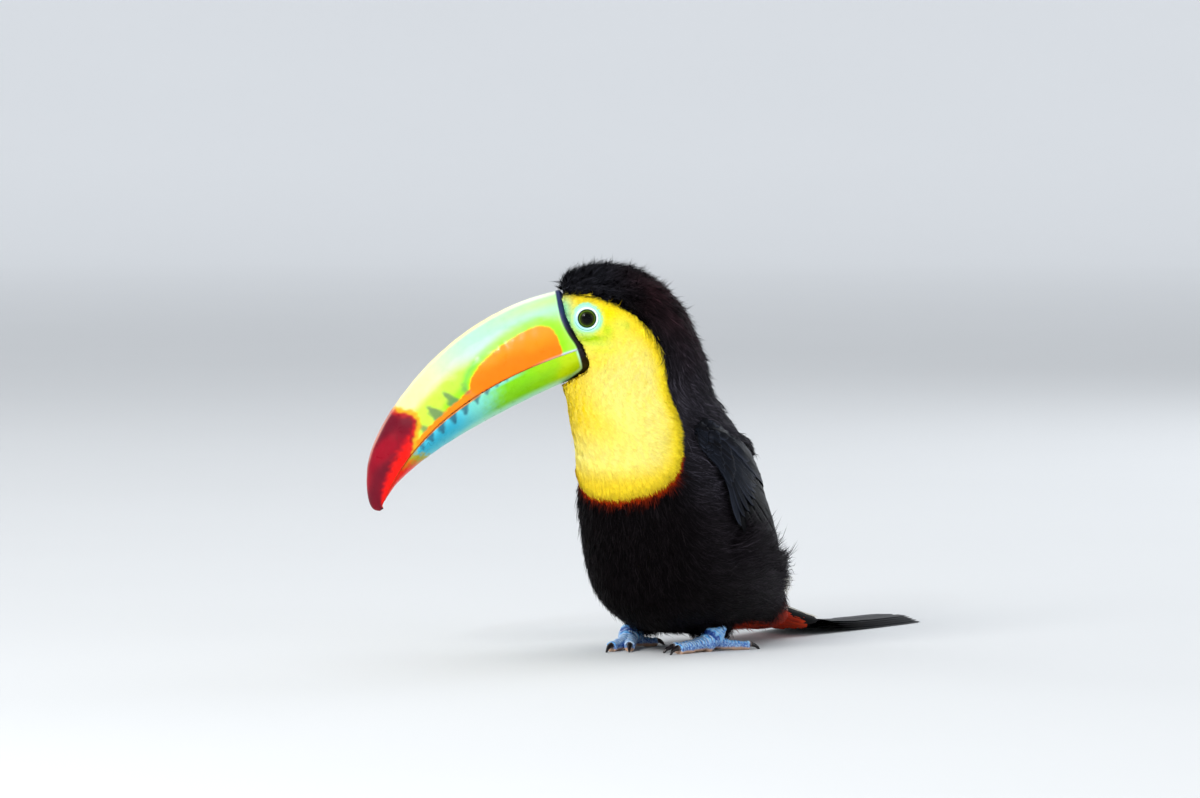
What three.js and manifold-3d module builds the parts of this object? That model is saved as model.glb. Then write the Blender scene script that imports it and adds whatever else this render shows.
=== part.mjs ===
// A life-size keel-billed toucan, squatting on a flat floor and looking over its right shoulder.
//
// Row frame: millimetres, +Z up, floor at z = 0. The trunk faces -Y, so +X is the bird's left.
// The bird is drawn looking straight ahead, in profile coordinates (forward, up) with a side
// offset that is positive to its left. place() carries a profile point into the row frame and
// twists whatever lies above the shoulders, so that the neck turns and the head looks right.
//
// The trunk, neck and head are one loft of rings, parted afterwards by thin plane cuts.

import * as THREE from "three";
import { mergeVertices } from "three/addons/utils/BufferGeometryUtils.js";
import Module from "manifold-3d";

const wasm = await Module();
wasm.setup();

// ---------------------------------------------------------------- driving dimensions

const GAP = 0.3; // left between neighbouring solids
const HEAD_TURN = THREE.MathUtils.degToRad(-57); // turn of the head about +Z
const TURN_AXIS_FORWARD = 20; // the neck's turning axis stands this far ahead of the feet
const TWIST_LOW = 82; // the neck starts to twist at this height
const TWIST_HIGH = 138; // and has turned in full at this one

const BODY_SEGMENTS = 28; // points round a body ring
const RINGS_PER_STATION = 2;
const BODY_SQUARENESS = 0.94; // under 1 fills the ring's corners out a little

// Body stations from the tail root to the bill: a point of the belly line, the point of the
// back line over it, and the body's half width there.
// [ventral forward, ventral up, dorsal forward, dorsal up, half width]
const BODY_STATIONS = [
  [-82, 5.2, -84.5, 20, 15],
  [-69.5, 5.5, -75.5, 30, 21],
  [-54, 6, -64.5, 41.5, 26],
  [-35, 6.6, -56, 56, 31.3],
  [-9, 7.2, -50, 71, 36.8],
  [20.5, 10.5, -42.5, 86, 40],
  [41.5, 20.5, -33.5, 100.5, 40.5],
  [51, 39.5, -25, 112, 39.5],
  [56.5, 60, -17, 121, 38],
  [60.3, 81, -11, 131, 36],
  [61.5, 100, -8, 142, 33],
  [63, 114, -4, 154, 31],
  [63.5, 123, 2.5, 168.5, 29.5],
  [64.5, 128, 12.5, 182, 27],
  [65.5, 130, 27.5, 192, 24],
  [66, 131.5, 45, 195.5, 21.5],
  [66.5, 132.5, 60.5, 192, 19.5],
  [67, 133, 70.5, 185.5, 17.5],
];

// The planes that part the body, each through two midline points [forward, up].
const RUMP_CUT = [[-52, 0], [-66, 46]];
const NECK_CUT = [[58, 92], [-14, 124]];
const HEAD_CUT = [[62, 124], [3, 160]];

const EYE = { forward: 53, up: 167.3, side: 17, radius: 6.4 };

// Bill outlines in profile, from inside the head to the tip.
const BILL_START = 50; // the bill's lofts start here and are cut back to the feather line
const CULMEN = [
  [BILL_START, 182.5],
  [70, 179.8],
  [91, 172.8],
  [113, 160.2],
  [133, 142.8],
  [151, 120],
  [160.6, 100.5],
  [162.8, 87],
  [161.9, 76.5],
  [159.6, 71.6],
  [155.4, 70.4],
];
const TOMIUM = [[BILL_START, 154], [58.3, 151.2], [121.5, 130.5], [143.8, 99.6], [155, 73.2]];
const GONYS = [[BILL_START, 141.5], [65.7, 134.3], [102.7, 117.5], [143.6, 95.2], [153.4, 76]];
// The edge of the feathers on the bill's side, from the forehead down to the corner by the throat.
const FEATHER_LINE = [
  [68.4, 181],
  [66, 176],
  [64.3, 169],
  [60.8, 161],
  [56.6, 154.3],
  [54.2, 148.5],
  [52.9, 143.6],
  [53.2, 141.6],
];
const CHIN = [66, 133.7]; // throat feathers reach this far along the underside of the bill
const BILL_HALF_WIDTH = 18;
const BILL_RINGS = 24;
const BILL_RING_CROWDING = 1.4; // the rings stand closer towards the tip
const LOWER_BILL_REACH = 0.972; // the lower half ends this far along the cutting edge
const BILL_ARC = 12; // facets over each half of the bill
const TOMIUM_GAP = 0.4; // open line between upper and lower bill
const UPPER_KEEL = 0.12; // how far the sides draw in towards the ridge
const LOWER_KEEL = 0.1;

const WING = {
  // [body station, upper edge, lower edge], from the bend of the wing to its tip, with the
  // edges in degrees round the body ring, 0 on the back
  outline: [
    [8.5, 62, 82],
    [7.9, 47, 100],
    [6.6, 32, 102],
    [4.6, 16, 88],
    [2.6, 8, 68],
    [1.2, 8, 54],
    [0.4, 14, 36],
  ],
  thickness: 1.9,
  edge: 0.5,
  clearance: 0.75,
  rings: 16,
  arc: 8,
};

const TAIL = {
  // [forward, centre height, half width, half thickness]
  stations: [
    [-85.3, 12.6, 14, 6],
    [-100, 8.6, 16.5, 4.8],
    [-117, 5.2, 18.8, 3.6],
    [-134, 3.2, 20.8, 2.8],
    [-160, 1.9, 23, 2.1],
    [-190, 1.5, 24.5, 1.7],
    [-205, 1.35, 23.5, 1.5],
    [-213, 1.25, 18, 1.4],
    [-217.5, 1.2, 8, 1.3],
  ],
  rings: 15,
  segments: 20,
};

// Both feet, [forward, side]: the right one stands a little ahead of and wider than the left.
const FOOT_PLACE = { left: [-1, 20.5], right: [5, -23] };
const FOOT_TURN = { left: -20, right: 20 }; // degrees about +Z, negative to the bird's right
const LEG = {
  ankleHeight: 6.4, // where the toes meet
  ankleRadius: 5.1,
  hockBack: 17, // the tarsus goes back and up into the belly feathers
  hockHeight: 21,
  hockRadius: 3.6,
};
// The feathered thigh stands out of the belly over the foot. Half sizes: [forward, side, up].
const THIGH = { back: 5, inset: 1.5, height: 22, halfSizes: [17, 10.5, 10.5] };
const TOE_TAPER = 0.82;
const TOE_SINK = 0.35; // how far the sole flats are pressed in
// Zygodactyl foot: toes 2 and 3 point forwards, 1 and 4 backwards.
// [toe, length, heading off straight ahead in degrees, positive outwards, radius]
const TOES = [
  [1, 17, -146, 2.5],
  [2, 20, -11, 3.1],
  [3, 24, 11, 3.1],
  [4, 21, 168, 2.6],
];
const CLAW = { bend: 4.6, reach: 6.2, sweep: 84, radius: 1.75, tip: 0.35, rings: 5, segments: 7 };

// ---------------------------------------------------------------- materials

function material(colour, roughness) {
  return new THREE.MeshStandardMaterial({ color: colour, roughness, metalness: 0 });
}

const blackFeather = material(0x16130f, 0.75);
const yellowFeather = material(0xf3df3a, 0.8);
const wingFeather = material(0x14161b, 0.5);
const billUpperGreen = material(0xa6dc5a, 0.3);
const billLowerGreen = material(0x86d64f, 0.3);
const eyeDark = material(0x1a2410, 0.1);
const legBlue = material(0x4f9fdc, 0.6);
const clawBlack = material(0x18161a, 0.35);

// ---------------------------------------------------------------- placing and lofting

// Profile coordinates to the row frame, turned about the neck's axis by the given angle.
function placeTurned(forward, side, up, turn) {
  const point = new THREE.Vector3(side, TURN_AXIS_FORWARD - forward, up);
  point.applyAxisAngle(new THREE.Vector3(0, 0, 1), turn);
  point.y -= TURN_AXIS_FORWARD;
  return point;
}

// Body points twist by their height; the head, bill and eyes turn as one piece.
function place(forward, side, up) {
  const share = THREE.MathUtils.smoothstep(up, TWIST_LOW, TWIST_HIGH);
  return placeTurned(forward, side, up, HEAD_TURN * share);
}

function placeOnHead(forward, side, up) {
  return placeTurned(forward, side, up, HEAD_TURN);
}

function solidOf(geometry) {
  const bare = geometry.clone();
  bare.deleteAttribute("normal");
  bare.deleteAttribute("uv");
  const merged = mergeVertices(bare, 1e-4);
  return new wasm.Manifold(
    new wasm.Mesh({
      numProp: 3,
      vertProperties: new Float32Array(merged.attributes.position.array),
      triVerts: new Uint32Array(merged.index.array),
    }),
  );
}

function geometryOf(solid) {
  const mesh = solid.getMesh();
  const geometry = new THREE.BufferGeometry();
  geometry.setAttribute("position", new THREE.BufferAttribute(mesh.vertProperties, 3));
  geometry.setIndex(new THREE.BufferAttribute(mesh.triVerts, 1));
  geometry.computeVertexNormals();
  return geometry;
}

// A closed body over rings that all have as many points, with a fan over each end.
function loft(rings) {
  const count = rings[0].length;
  const positions = rings.flat().flatMap((p) => [p.x, p.y, p.z]);
  const indices = [];
  for (let r = 0; r + 1 < rings.length; r++) {
    for (let i = 0; i < count; i++) {
      const next = (i + 1) % count;
      const a = r * count + i;
      const b = r * count + next;
      indices.push(a, b, b + count, a, b + count, a + count);
    }
  }
  const addCap = (ring, first, inwards) => {
    const centre = ring.reduce((sum, p) => sum.add(p), new THREE.Vector3()).divideScalar(count);
    const hub = positions.push(centre.x, centre.y, centre.z) / 3 - 1;
    for (let i = 0; i < count; i++) {
      const next = (i + 1) % count;
      indices.push(hub, first + (inwards ? next : i), first + (inwards ? i : next));
    }
  };
  addCap(rings[0], 0, true);
  addCap(rings.at(-1), (rings.length - 1) * count, false);
  const geometry = new THREE.BufferGeometry();
  geometry.setAttribute("position", new THREE.Float32BufferAttribute(positions, 3));
  geometry.setIndex(indices);
  return outwards(geometry);
}

// Turns a closed body's faces out if they point in.
function outwards(geometry) {
  const p = geometry.attributes.position;
  const index = geometry.index.array;
  const [a, b, c] = [new THREE.Vector3(), new THREE.Vector3(), new THREE.Vector3()];
  let volume = 0;
  for (let i = 0; i < index.length; i += 3) {
    a.fromBufferAttribute(p, index[i]);
    b.fromBufferAttribute(p, index[i + 1]);
    c.fromBufferAttribute(p, index[i + 2]);
    volume += a.dot(b.cross(c));
  }
  if (volume < 0) {
    for (let i = 0; i < index.length; i += 3) {
      [index[i + 1], index[i + 2]] = [index[i + 2], index[i + 1]];
    }
  }
  return geometry;
}

function signedPower(value, exponent) {
  return Math.sign(value) * Math.abs(value) ** exponent;
}

// ---------------------------------------------------------------- body

const lastStation = BODY_STATIONS.length - 1;
const ventralLine = new THREE.SplineCurve(BODY_STATIONS.map((s) => new THREE.Vector2(s[0], s[1])));
const dorsalLine = new THREE.SplineCurve(BODY_STATIONS.map((s) => new THREE.Vector2(s[2], s[3])));
const widthLine = new THREE.SplineCurve(BODY_STATIONS.map((s, i) => new THREE.Vector2(i, s[4])));

// A point of the body's surface at a station and an angle round its ring, 0 on the back and
// 90 degrees on the left side, moved out by grow.
function bodyPoint(station, angle, grow = 0) {
  const share = station / lastStation;
  const ventral = ventralLine.getPoint(share);
  const dorsal = dorsalLine.getPoint(share);
  const middle = ventral.clone().add(dorsal).multiplyScalar(0.5);
  const reach = dorsal.clone().sub(middle);
  const stretch = 1 + grow / reach.length();
  const along = signedPower(Math.cos(angle), BODY_SQUARENESS) * stretch;
  const across = signedPower(Math.sin(angle), BODY_SQUARENESS) * (widthLine.getPoint(share).y + grow);
  return place(middle.x + reach.x * along, across, middle.y + reach.y * along);
}

function bodyLoft() {
  const ringCount = Math.round(lastStation * RINGS_PER_STATION);
  const rings = [];
  for (let r = 0; r <= ringCount; r++) {
    const station = (r / ringCount) * lastStation;
    const ring = [];
    for (let i = 0; i < BODY_SEGMENTS; i++) {
      ring.push(bodyPoint(station, (i / BODY_SEGMENTS) * 2 * Math.PI));
    }
    rings.push(ring);
  }
  return loft(rings);
}

// Parts a solid by the plane through two midline points, which runs straight across the bird.
// Returns the rear or lower piece and the front or upper one.
function part(solid, [[forwardA, upA], [forwardB, upB]], turn) {
  const across = new THREE.Vector3(1, 0, 0).applyAxisAngle(new THREE.Vector3(0, 0, 1), turn);
  const a = placeTurned(forwardA, 0, upA, turn);
  const b = placeTurned(forwardB, 0, upB, turn);
  const normal = across.cross(b.clone().sub(a)).normalize();
  const offset = normal.dot(a);
  const flipped = normal.clone().negate();
  const rear = solid.trimByPlane(flipped.toArray(), GAP / 2 - offset);
  const front = solid.trimByPlane(normal.toArray(), offset + GAP / 2);
  return [rear, front];
}

// ---------------------------------------------------------------- bill

// Everything ahead of the feather line, as a prism across the head, moved back by retreat.
function billRegion(retreat) {
  const far = BILL_START + 150;
  const edge = FEATHER_LINE.map(([forward, up]) => [forward - retreat, up]);
  const outline = [
    [FEATHER_LINE[0][0] - retreat, 200],
    ...edge,
    [CHIN[0], CHIN[1] - retreat],
    [CHIN[0] + 4, CHIN[1] - 20],
    [far, CHIN[1] - 100],
    [far, 200],
  ];
  const halfSpan = 2 * BILL_HALF_WIDTH;
  const rings = [-halfSpan, halfSpan].map((side) =>
    outline.map(([forward, up]) => placeOnHead(forward, side, up)),
  );
  return solidOf(prism(rings));
}

// A closed body between two equal outlines that need not be convex.
function prism([near, far]) {
  const count = near.length;
  const flat = near.map((p) => new THREE.Vector2(p.dot(headForward), p.z));
  const positions = [...near, ...far].flatMap((p) => [p.x, p.y, p.z]);
  const indices = [];
  for (const [a, b, c] of THREE.ShapeUtils.triangulateShape(flat, [])) {
    indices.push(a, c, b, a + count, b + count, c + count);
  }
  const clockwise = THREE.ShapeUtils.isClockWise(flat);
  for (let i = 0; i < count; i++) {
    const next = (i + 1) % count;
    const quad = [i, next, next + count, i, next + count, i + count];
    indices.push(...(clockwise ? quad.toReversed() : quad));
  }
  const geometry = new THREE.BufferGeometry();
  geometry.setAttribute("position", new THREE.Float32BufferAttribute(positions, 3));
  geometry.setIndex(indices);
  return outwards(geometry);
}

const headForward = new THREE.Vector3(0, -1, 0).applyAxisAngle(new THREE.Vector3(0, 0, 1), HEAD_TURN);

const asVectors = (points) => points.map(([x, y]) => new THREE.Vector2(x, y));
const culmenLine = new THREE.SplineCurve(asVectors(CULMEN));
const tomiumLine = billEdge(TOMIUM);
const gonysLine = billEdge(GONYS);

// A straight run inside the head, then one smooth curve to the tip.
function billEdge([start, ...curve]) {
  const path = new THREE.CurvePath();
  const [a, b, c, d] = asVectors(curve);
  path.add(new THREE.LineCurve(new THREE.Vector2(...start), a));
  path.add(new THREE.CubicBezierCurve(a, b, c, d));
  return path;
}

// Half width of the bill, from its base to its tip: full, then closing in like a blade.
function billHalfWidth(share) {
  return BILL_HALF_WIDTH * (1 - 0.3 * share) * (1 - share ** 3.2) ** 0.55 + 0.8;
}

// Half of the bill: an arch from one cutting edge over the ridge line to the other.
function billHalf(ridgeLine, lift, keel, reach) {
  const rings = [];
  for (let r = 0; r <= BILL_RINGS; r++) {
    const share = 1 - (1 - r / BILL_RINGS) ** BILL_RING_CROWDING;
    const ridge = ridgeLine.getPointAt(share);
    const edge = tomiumLine.getPointAt(share * reach).add(new THREE.Vector2(0, lift));
    const rise = ridge.sub(edge);
    const ring = [];
    for (let i = 0; i <= BILL_ARC; i++) {
      const angle = (i / BILL_ARC - 0.5) * Math.PI;
      const height = Math.cos(angle) ** 0.85;
      const side = billHalfWidth(share) * Math.sin(angle) * (1 - keel * height);
      ring.push(placeOnHead(edge.x + rise.x * height, side, edge.y + rise.y * height));
    }
    rings.push(ring);
  }
  return solidOf(loft(rings));
}

// ---------------------------------------------------------------- wings

function wingLoft(sign) {
  const pick = (column) =>
    new THREE.SplineCurve(WING.outline.map((row, i) => new THREE.Vector2(i, row[column])));
  const [stations, uppers, lowers] = [pick(0), pick(1), pick(2)];
  const rings = [];
  for (let r = 0; r <= WING.rings; r++) {
    const share = r / WING.rings;
    const station = stations.getPoint(share).y;
    const upper = THREE.MathUtils.degToRad(uppers.getPoint(share).y);
    const lower = THREE.MathUtils.degToRad(lowers.getPoint(share).y);
    const swell = Math.sin(Math.PI * (0.05 + 0.9 * share)) ** 0.5;
    const outer = [];
    const inner = [];
    for (let i = 0; i <= WING.arc; i++) {
      const across = i / WING.arc;
      const angle = sign * THREE.MathUtils.lerp(upper, lower, across);
      const bulge = WING.edge + WING.thickness * swell * Math.sqrt(1 - (2 * across - 1) ** 2);
      outer.push(bodyPoint(station, angle, WING.clearance + bulge));
      inner.push(bodyPoint(station, angle, WING.clearance));
    }
    rings.push([...outer, ...inner.reverse()]);
  }
  return loft(rings);
}

// ---------------------------------------------------------------- tail

function tailLoft() {
  const pick = (column) =>
    new THREE.SplineCurve(TAIL.stations.map((s) => new THREE.Vector2(s[0], s[column])));
  const [heights, widths, depths] = [pick(1), pick(2), pick(3)];
  const rings = [];
  for (let r = 0; r <= TAIL.rings; r++) {
    const share = r / TAIL.rings;
    const centre = heights.getPoint(share);
    const ring = [];
    for (let i = 0; i < TAIL.segments; i++) {
      const angle = (i / TAIL.segments) * 2 * Math.PI;
      const side = Math.cos(angle) * widths.getPoint(share).y;
      const up = centre.y + signedPower(Math.sin(angle), 0.8) * depths.getPoint(share).y;
      ring.push(place(centre.x, side, Math.max(up, 0)));
    }
    rings.push(ring);
  }
  return loft(rings);
}

// ---------------------------------------------------------------- legs

// A round limb along a path that lies in one upright plane with the given heading.
function limb(path, radii, across, segments) {
  const rings = path.map((point, i) => {
    const before = path[Math.max(i - 1, 0)];
    const after = path[Math.min(i + 1, path.length - 1)];
    const along = after.clone().sub(before).normalize();
    const over = along.clone().cross(across).normalize();
    return Array.from({ length: segments }, (_, k) => {
      const angle = (k / segments) * 2 * Math.PI;
      return point
        .clone()
        .addScaledVector(across, radii[i] * Math.cos(angle))
        .addScaledVector(over, radii[i] * Math.sin(angle));
    });
  });
  return solidOf(loft(rings));
}

// The frame of one toe: where it starts, the way it points, and the level way across it.
function toeFrame(side, sign, heading) {
  const ankle = place(...FOOT_PLACE[side], 0);
  const turn = THREE.MathUtils.degToRad(sign * heading + FOOT_TURN[side]);
  const ahead = new THREE.Vector3(0, -1, 0).applyAxisAngle(new THREE.Vector3(0, 0, 1), turn);
  const across = ahead.clone().cross(new THREE.Vector3(0, 0, 1));
  return { ankle, ahead, across };
}

function toeSolid({ ankle, ahead, across }, length, radius) {
  const steps = 6;
  const path = [];
  const radii = [];
  for (let i = 0; i <= steps; i++) {
    const share = i / steps;
    const thick = radius * THREE.MathUtils.lerp(1, TOE_TAPER, share);
    const knuckle = 0.25 * Math.cos(share * 6 * Math.PI);
    const arch = 2.2 * (1 - share) ** 2;
    path.push(
      ankle
        .clone()
        .addScaledVector(ahead, share * length)
        .setZ(thick - TOE_SINK + arch),
    );
    radii.push(thick + knuckle);
  }
  return limb(path, radii, across, 10);
}

// A hooked claw that starts just off the toe's end and comes down to the floor.
function clawSolid({ ankle, ahead, across }, length, radius) {
  const path = [];
  const radii = [];
  const centre = ankle
    .clone()
    .addScaledVector(ahead, length + GAP)
    .setZ(radius * TOE_TAPER - CLAW.bend + 0.6);
  for (let i = 0; i <= CLAW.rings; i++) {
    const share = i / CLAW.rings;
    const angle = THREE.MathUtils.degToRad(90 - CLAW.sweep * share);
    path.push(
      centre
        .clone()
        .addScaledVector(ahead, CLAW.reach * Math.cos(angle))
        .add(new THREE.Vector3(0, 0, CLAW.bend * Math.sin(angle))),
    );
    radii.push(THREE.MathUtils.lerp(CLAW.radius, CLAW.tip, share ** 0.8));
  }
  return aboveFloor(limb(path, radii, across, CLAW.segments));
}

function tarsusSolid(side, grow) {
  const [forward, across] = FOOT_PLACE[side];
  const ankle = place(forward, across, LEG.ankleHeight);
  const hock = place(forward - LEG.hockBack, across, LEG.hockHeight);
  const steps = 3;
  const path = [];
  const radii = [];
  for (let i = -1; i <= steps; i++) {
    const share = (i + (i === steps ? grow / steps : 0)) / steps;
    path.push(ankle.clone().lerp(hock, share));
    const radius = THREE.MathUtils.lerp(LEG.ankleRadius, LEG.hockRadius, Math.max(share, 0));
    radii.push((i < 0 ? 0.7 * radius : radius) + grow);
  }
  return limb(path, radii, new THREE.Vector3(1, 0, 0), 12);
}

function thighSolid(side, sign) {
  const [forward, across] = FOOT_PLACE[side];
  const centre = place(forward - THIGH.back, across - sign * THIGH.inset, THIGH.height);
  const [ahead, beside, up] = THIGH.halfSizes;
  const geometry = new THREE.SphereGeometry(1, 16, 10).scale(beside, ahead, up);
  return solidOf(geometry.translate(...centre.toArray()));
}

function aboveFloor(solid) {
  return solid.trimByPlane([0, 0, 1], 0);
}

// ---------------------------------------------------------------- the whole bird

const toucan = new THREE.Group();

function add(name, solid, finish) {
  const mesh = new THREE.Mesh(geometryOf(solid), finish);
  mesh.name = name;
  toucan.add(mesh);
}

const eyes = {};
for (const [side, sign] of [["left", 1], ["right", -1]]) {
  const centre = placeOnHead(EYE.forward, sign * EYE.side, EYE.up);
  const ball = new THREE.SphereGeometry(EYE.radius, 14, 10);
  const socket = new THREE.SphereGeometry(EYE.radius + GAP, 14, 10);
  for (const geometry of [ball, socket]) {
    geometry.translate(...centre.toArray());
  }
  eyes[side] = { ball: solidOf(ball), socket: solidOf(socket) };
}

let body = solidOf(bodyLoft());
for (const [side, sign] of [["left", 1], ["right", -1]]) {
  let foot = tarsusSolid(side, 0);
  for (const [toe, length, heading, radius] of TOES) {
    const frame = toeFrame(side, sign, heading);
    foot = foot.add(toeSolid(frame, length, radius));
    add(`claw_${side}_${toe}`, clawSolid(frame, length, radius), clawBlack);
  }
  add(`leg_${side}`, aboveFloor(foot), legBlue);
  body = body.add(thighSolid(side, sign)).subtract(tarsusSolid(side, GAP));
}

const [rump, aheadOfRump] = part(body, RUMP_CUT, 0);
const [trunk, aboveTrunk] = part(aheadOfRump, NECK_CUT, HEAD_TURN / 2);
const [neck, headBlock] = part(aboveTrunk, HEAD_CUT, HEAD_TURN);

const sockets = eyes.left.socket.add(eyes.right.socket);
add("rump", rump, blackFeather);
add("trunk", trunk, blackFeather);
add("neck", neck, yellowFeather);
add("head", headBlock.subtract(billRegion(GAP)).subtract(sockets), yellowFeather);

const billFront = billRegion(0);
const upperBill = billHalf(culmenLine, TOMIUM_GAP / 2, UPPER_KEEL, 1);
const lowerBill = billHalf(gonysLine, -TOMIUM_GAP / 2, LOWER_KEEL, LOWER_BILL_REACH);
add("bill_upper", upperBill.intersect(billFront), billUpperGreen);
add("bill_lower", lowerBill.intersect(billFront), billLowerGreen);

for (const [side, sign] of [["left", 1], ["right", -1]]) {
  add(`eye_${side}`, eyes[side].ball, eyeDark);
  add(`wing_${side}`, solidOf(wingLoft(sign)), wingFeather);
}
add("tail", solidOf(tailLoft()), blackFeather);

// The origin goes to the floor under the middle of the bird's bounding box.
const middle = new THREE.Box3().setFromObject(toucan).getCenter(new THREE.Vector3());
toucan.position.set(-middle.x, -middle.y, 0);

export default toucan;
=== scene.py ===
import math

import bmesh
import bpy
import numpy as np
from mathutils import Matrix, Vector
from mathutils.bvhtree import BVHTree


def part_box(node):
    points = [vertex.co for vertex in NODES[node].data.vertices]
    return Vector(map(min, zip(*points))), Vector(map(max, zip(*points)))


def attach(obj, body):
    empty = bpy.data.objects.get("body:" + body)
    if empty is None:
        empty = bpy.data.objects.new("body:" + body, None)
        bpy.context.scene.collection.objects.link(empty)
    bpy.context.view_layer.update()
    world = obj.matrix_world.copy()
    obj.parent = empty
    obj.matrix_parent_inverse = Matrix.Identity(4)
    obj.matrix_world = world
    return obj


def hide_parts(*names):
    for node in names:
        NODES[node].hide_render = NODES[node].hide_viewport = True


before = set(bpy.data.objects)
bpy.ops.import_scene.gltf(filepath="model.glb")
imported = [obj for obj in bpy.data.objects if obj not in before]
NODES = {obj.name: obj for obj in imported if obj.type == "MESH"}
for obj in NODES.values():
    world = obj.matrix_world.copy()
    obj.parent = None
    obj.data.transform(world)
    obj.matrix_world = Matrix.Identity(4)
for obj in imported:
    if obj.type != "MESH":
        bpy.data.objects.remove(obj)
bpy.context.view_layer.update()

# The looks of a keel-billed toucan: one feathered skin over the flesh, with eyes, bill, legs and
# claws of their own. Objects are in metres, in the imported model's frame.
#
# The markings and the lie of the feathers are worked out in profile coordinates, in millimetres:
# forward, side (positive to the bird's left) and up, for the bird looking straight ahead.
# to_profile() takes a point of the model there and to_model() brings it back.

MM = 0.001
BLOCK = 20000  # points compared with a line at a time, to save memory
rng = np.random.default_rng(11)

# ---------------------------------------------------------------- measures from the frame

SIDES = {"left": 1, "right": -1}


def centre_of(node):
    low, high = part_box(node)
    return (low + high) / 2


TAIL_LOW, TAIL_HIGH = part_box("tail")
TAIL_REACH = 217.5  # how far the tail's end lies behind the bird's own origin
ORIGIN = np.array([(TAIL_LOW.x + TAIL_HIGH.x) / 2, TAIL_HIGH.y - TAIL_REACH * MM, 0])

TURN_AXIS_FORWARD = 20
TURN_AXIS = ORIGIN + np.array([0, -TURN_AXIS_FORWARD * MM, 0])
EYE_LINE = centre_of("eye_left") - centre_of("eye_right")
HEAD_TURN = math.atan2(EYE_LINE.y, EYE_LINE.x)
HEAD_LEFT = np.array([math.cos(HEAD_TURN), math.sin(HEAD_TURN), 0])
HEAD_FORWARD = np.array([math.sin(HEAD_TURN), -math.cos(HEAD_TURN), 0])
TWIST_LOW = 82  # the neck starts to twist at this height
TWIST_HIGH = 138  # and has turned in full at this one

FOOT_PLACE = {"left": (-1, 20.5), "right": (5, -23)}  # the ankles, [forward, side]

# The body's rings, evenly spaced from the tail root to the bill base.
# [belly forward, belly up, back forward, back up, half width]
RINGS = np.array([
    [-82, 5.2, -84.5, 20, 15],
    [-54, 6, -64.5, 41.5, 26],
    [-9, 7.2, -50, 71, 36.8],
    [41.5, 20.5, -33.5, 100.5, 40.5],
    [56.5, 60, -17, 121, 38],
    [61.5, 100, -8, 142, 33],
    [63.5, 123, 2.5, 168.5, 29.5],
    [65.5, 130, 27.5, 192, 24],
    [66.5, 132.5, 60.5, 192, 19.5],
    [67.5, 133.5, 77, 180, 16],
])

# ---------------------------------------------------------------- number helpers


def smoothstep(value, low, high):
    """0 up to low, 1 from high on and smooth between; low may be the greater one."""
    share = np.clip((value - low) / (high - low), 0, 1)
    return share * share * (3 - 2 * share)


def bell(value, middle, width):
    """1 at the middle, falling off smoothly over about the given width."""
    return np.exp(-(((value - middle) / width) ** 2))


def mix(first, second, share):
    """The value a share of the way from the first to the second."""
    return first + (second - first) * share


def colour(code):
    """Linear colour of an sRGB hex code."""
    srgb = np.array([int(code[i : i + 2], 16) for i in (1, 3, 5)]) / 255
    return np.where(srgb <= 0.04045, srgb / 12.92, ((srgb + 0.055) / 1.055) ** 2.4)


def blend(first, second, share):
    """Blends vectors, or colours given as hex codes or linear ones, by a share for each point."""
    first, second = (colour(tint) if isinstance(tint, str) else tint for tint in (first, second))
    return mix(first, second, np.asarray(share)[..., None])


def layered(paint, *coats):
    """Lays colours over a paint one after the other, each with its share for each point."""
    for tint, share in coats:
        paint = blend(paint, tint, share)
    return paint


def unit(vectors):
    return vectors / np.maximum(np.linalg.norm(vectors, axis=-1, keepdims=True), 1e-12)


def spline(points, shares):
    """Points of a Catmull-Rom curve through evenly spaced control points."""
    points = np.asarray(points, float)
    last = len(points) - 1
    place = np.clip(np.asarray(shares, float), 0, 1) * last
    index = np.minimum(place.astype(int), last - 1)
    t = (place - index)[..., None]
    before = points[np.maximum(index - 1, 0)]
    start, end = points[index], points[index + 1]
    after = points[np.minimum(index + 2, last)]
    leave, arrive = (end - before) / 2, (after - start) / 2
    cubic = 2 * start - 2 * end + leave + arrive
    square = 3 * (end - start) - 2 * leave - arrive
    return cubic * t**3 + square * t**2 + leave * t + start


def wobble(points, scale, seed):
    """Smooth noise from -1 to 1 with features of about the given size, from crossed waves."""
    waves = np.random.default_rng(seed)
    total = 0
    for _ in range(7):
        direction = unit(waves.normal(size=3))
        pitch = waves.uniform(0.6, 1.6) * 2 * np.pi / scale
        total = total + np.sin(points @ direction * pitch + waves.uniform(0, 2 * np.pi))
    return total / 4


# ---------------------------------------------------------------- profile coordinates


def turned(vectors, angle):
    """Vectors turned about the upright axis."""
    cos, sin = np.cos(angle), np.sin(angle)
    x, y = vectors[:, 0], vectors[:, 1]
    return np.stack([x * cos - y * sin, x * sin + y * cos, vectors[:, 2]], 1)


def turn_at(up):
    """How far the neck has turned at a height."""
    return HEAD_TURN * smoothstep(up, TWIST_LOW, TWIST_HIGH)


def to_profile(points):
    """[forward, side, up] of model points; the neck's twist is taken out."""
    local = (points - TURN_AXIS) / MM
    straight = turned(local, -turn_at(local[:, 2]))
    return np.stack([TURN_AXIS_FORWARD - straight[:, 1], straight[:, 0], straight[:, 2]], 1)


def to_model(profile, turn=None):
    """Model points of [forward, side, up]; the twist is the neck's unless a turn is given."""
    local = np.stack([profile[:, 1], TURN_AXIS_FORWARD - profile[:, 0], profile[:, 2]], 1)
    angle = turn_at(local[:, 2]) if turn is None else turn
    return TURN_AXIS + turned(local, angle) * MM


SIDE_SWEEP = 1.1  # how far the feathers on the body's sides turn towards the wing


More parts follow.
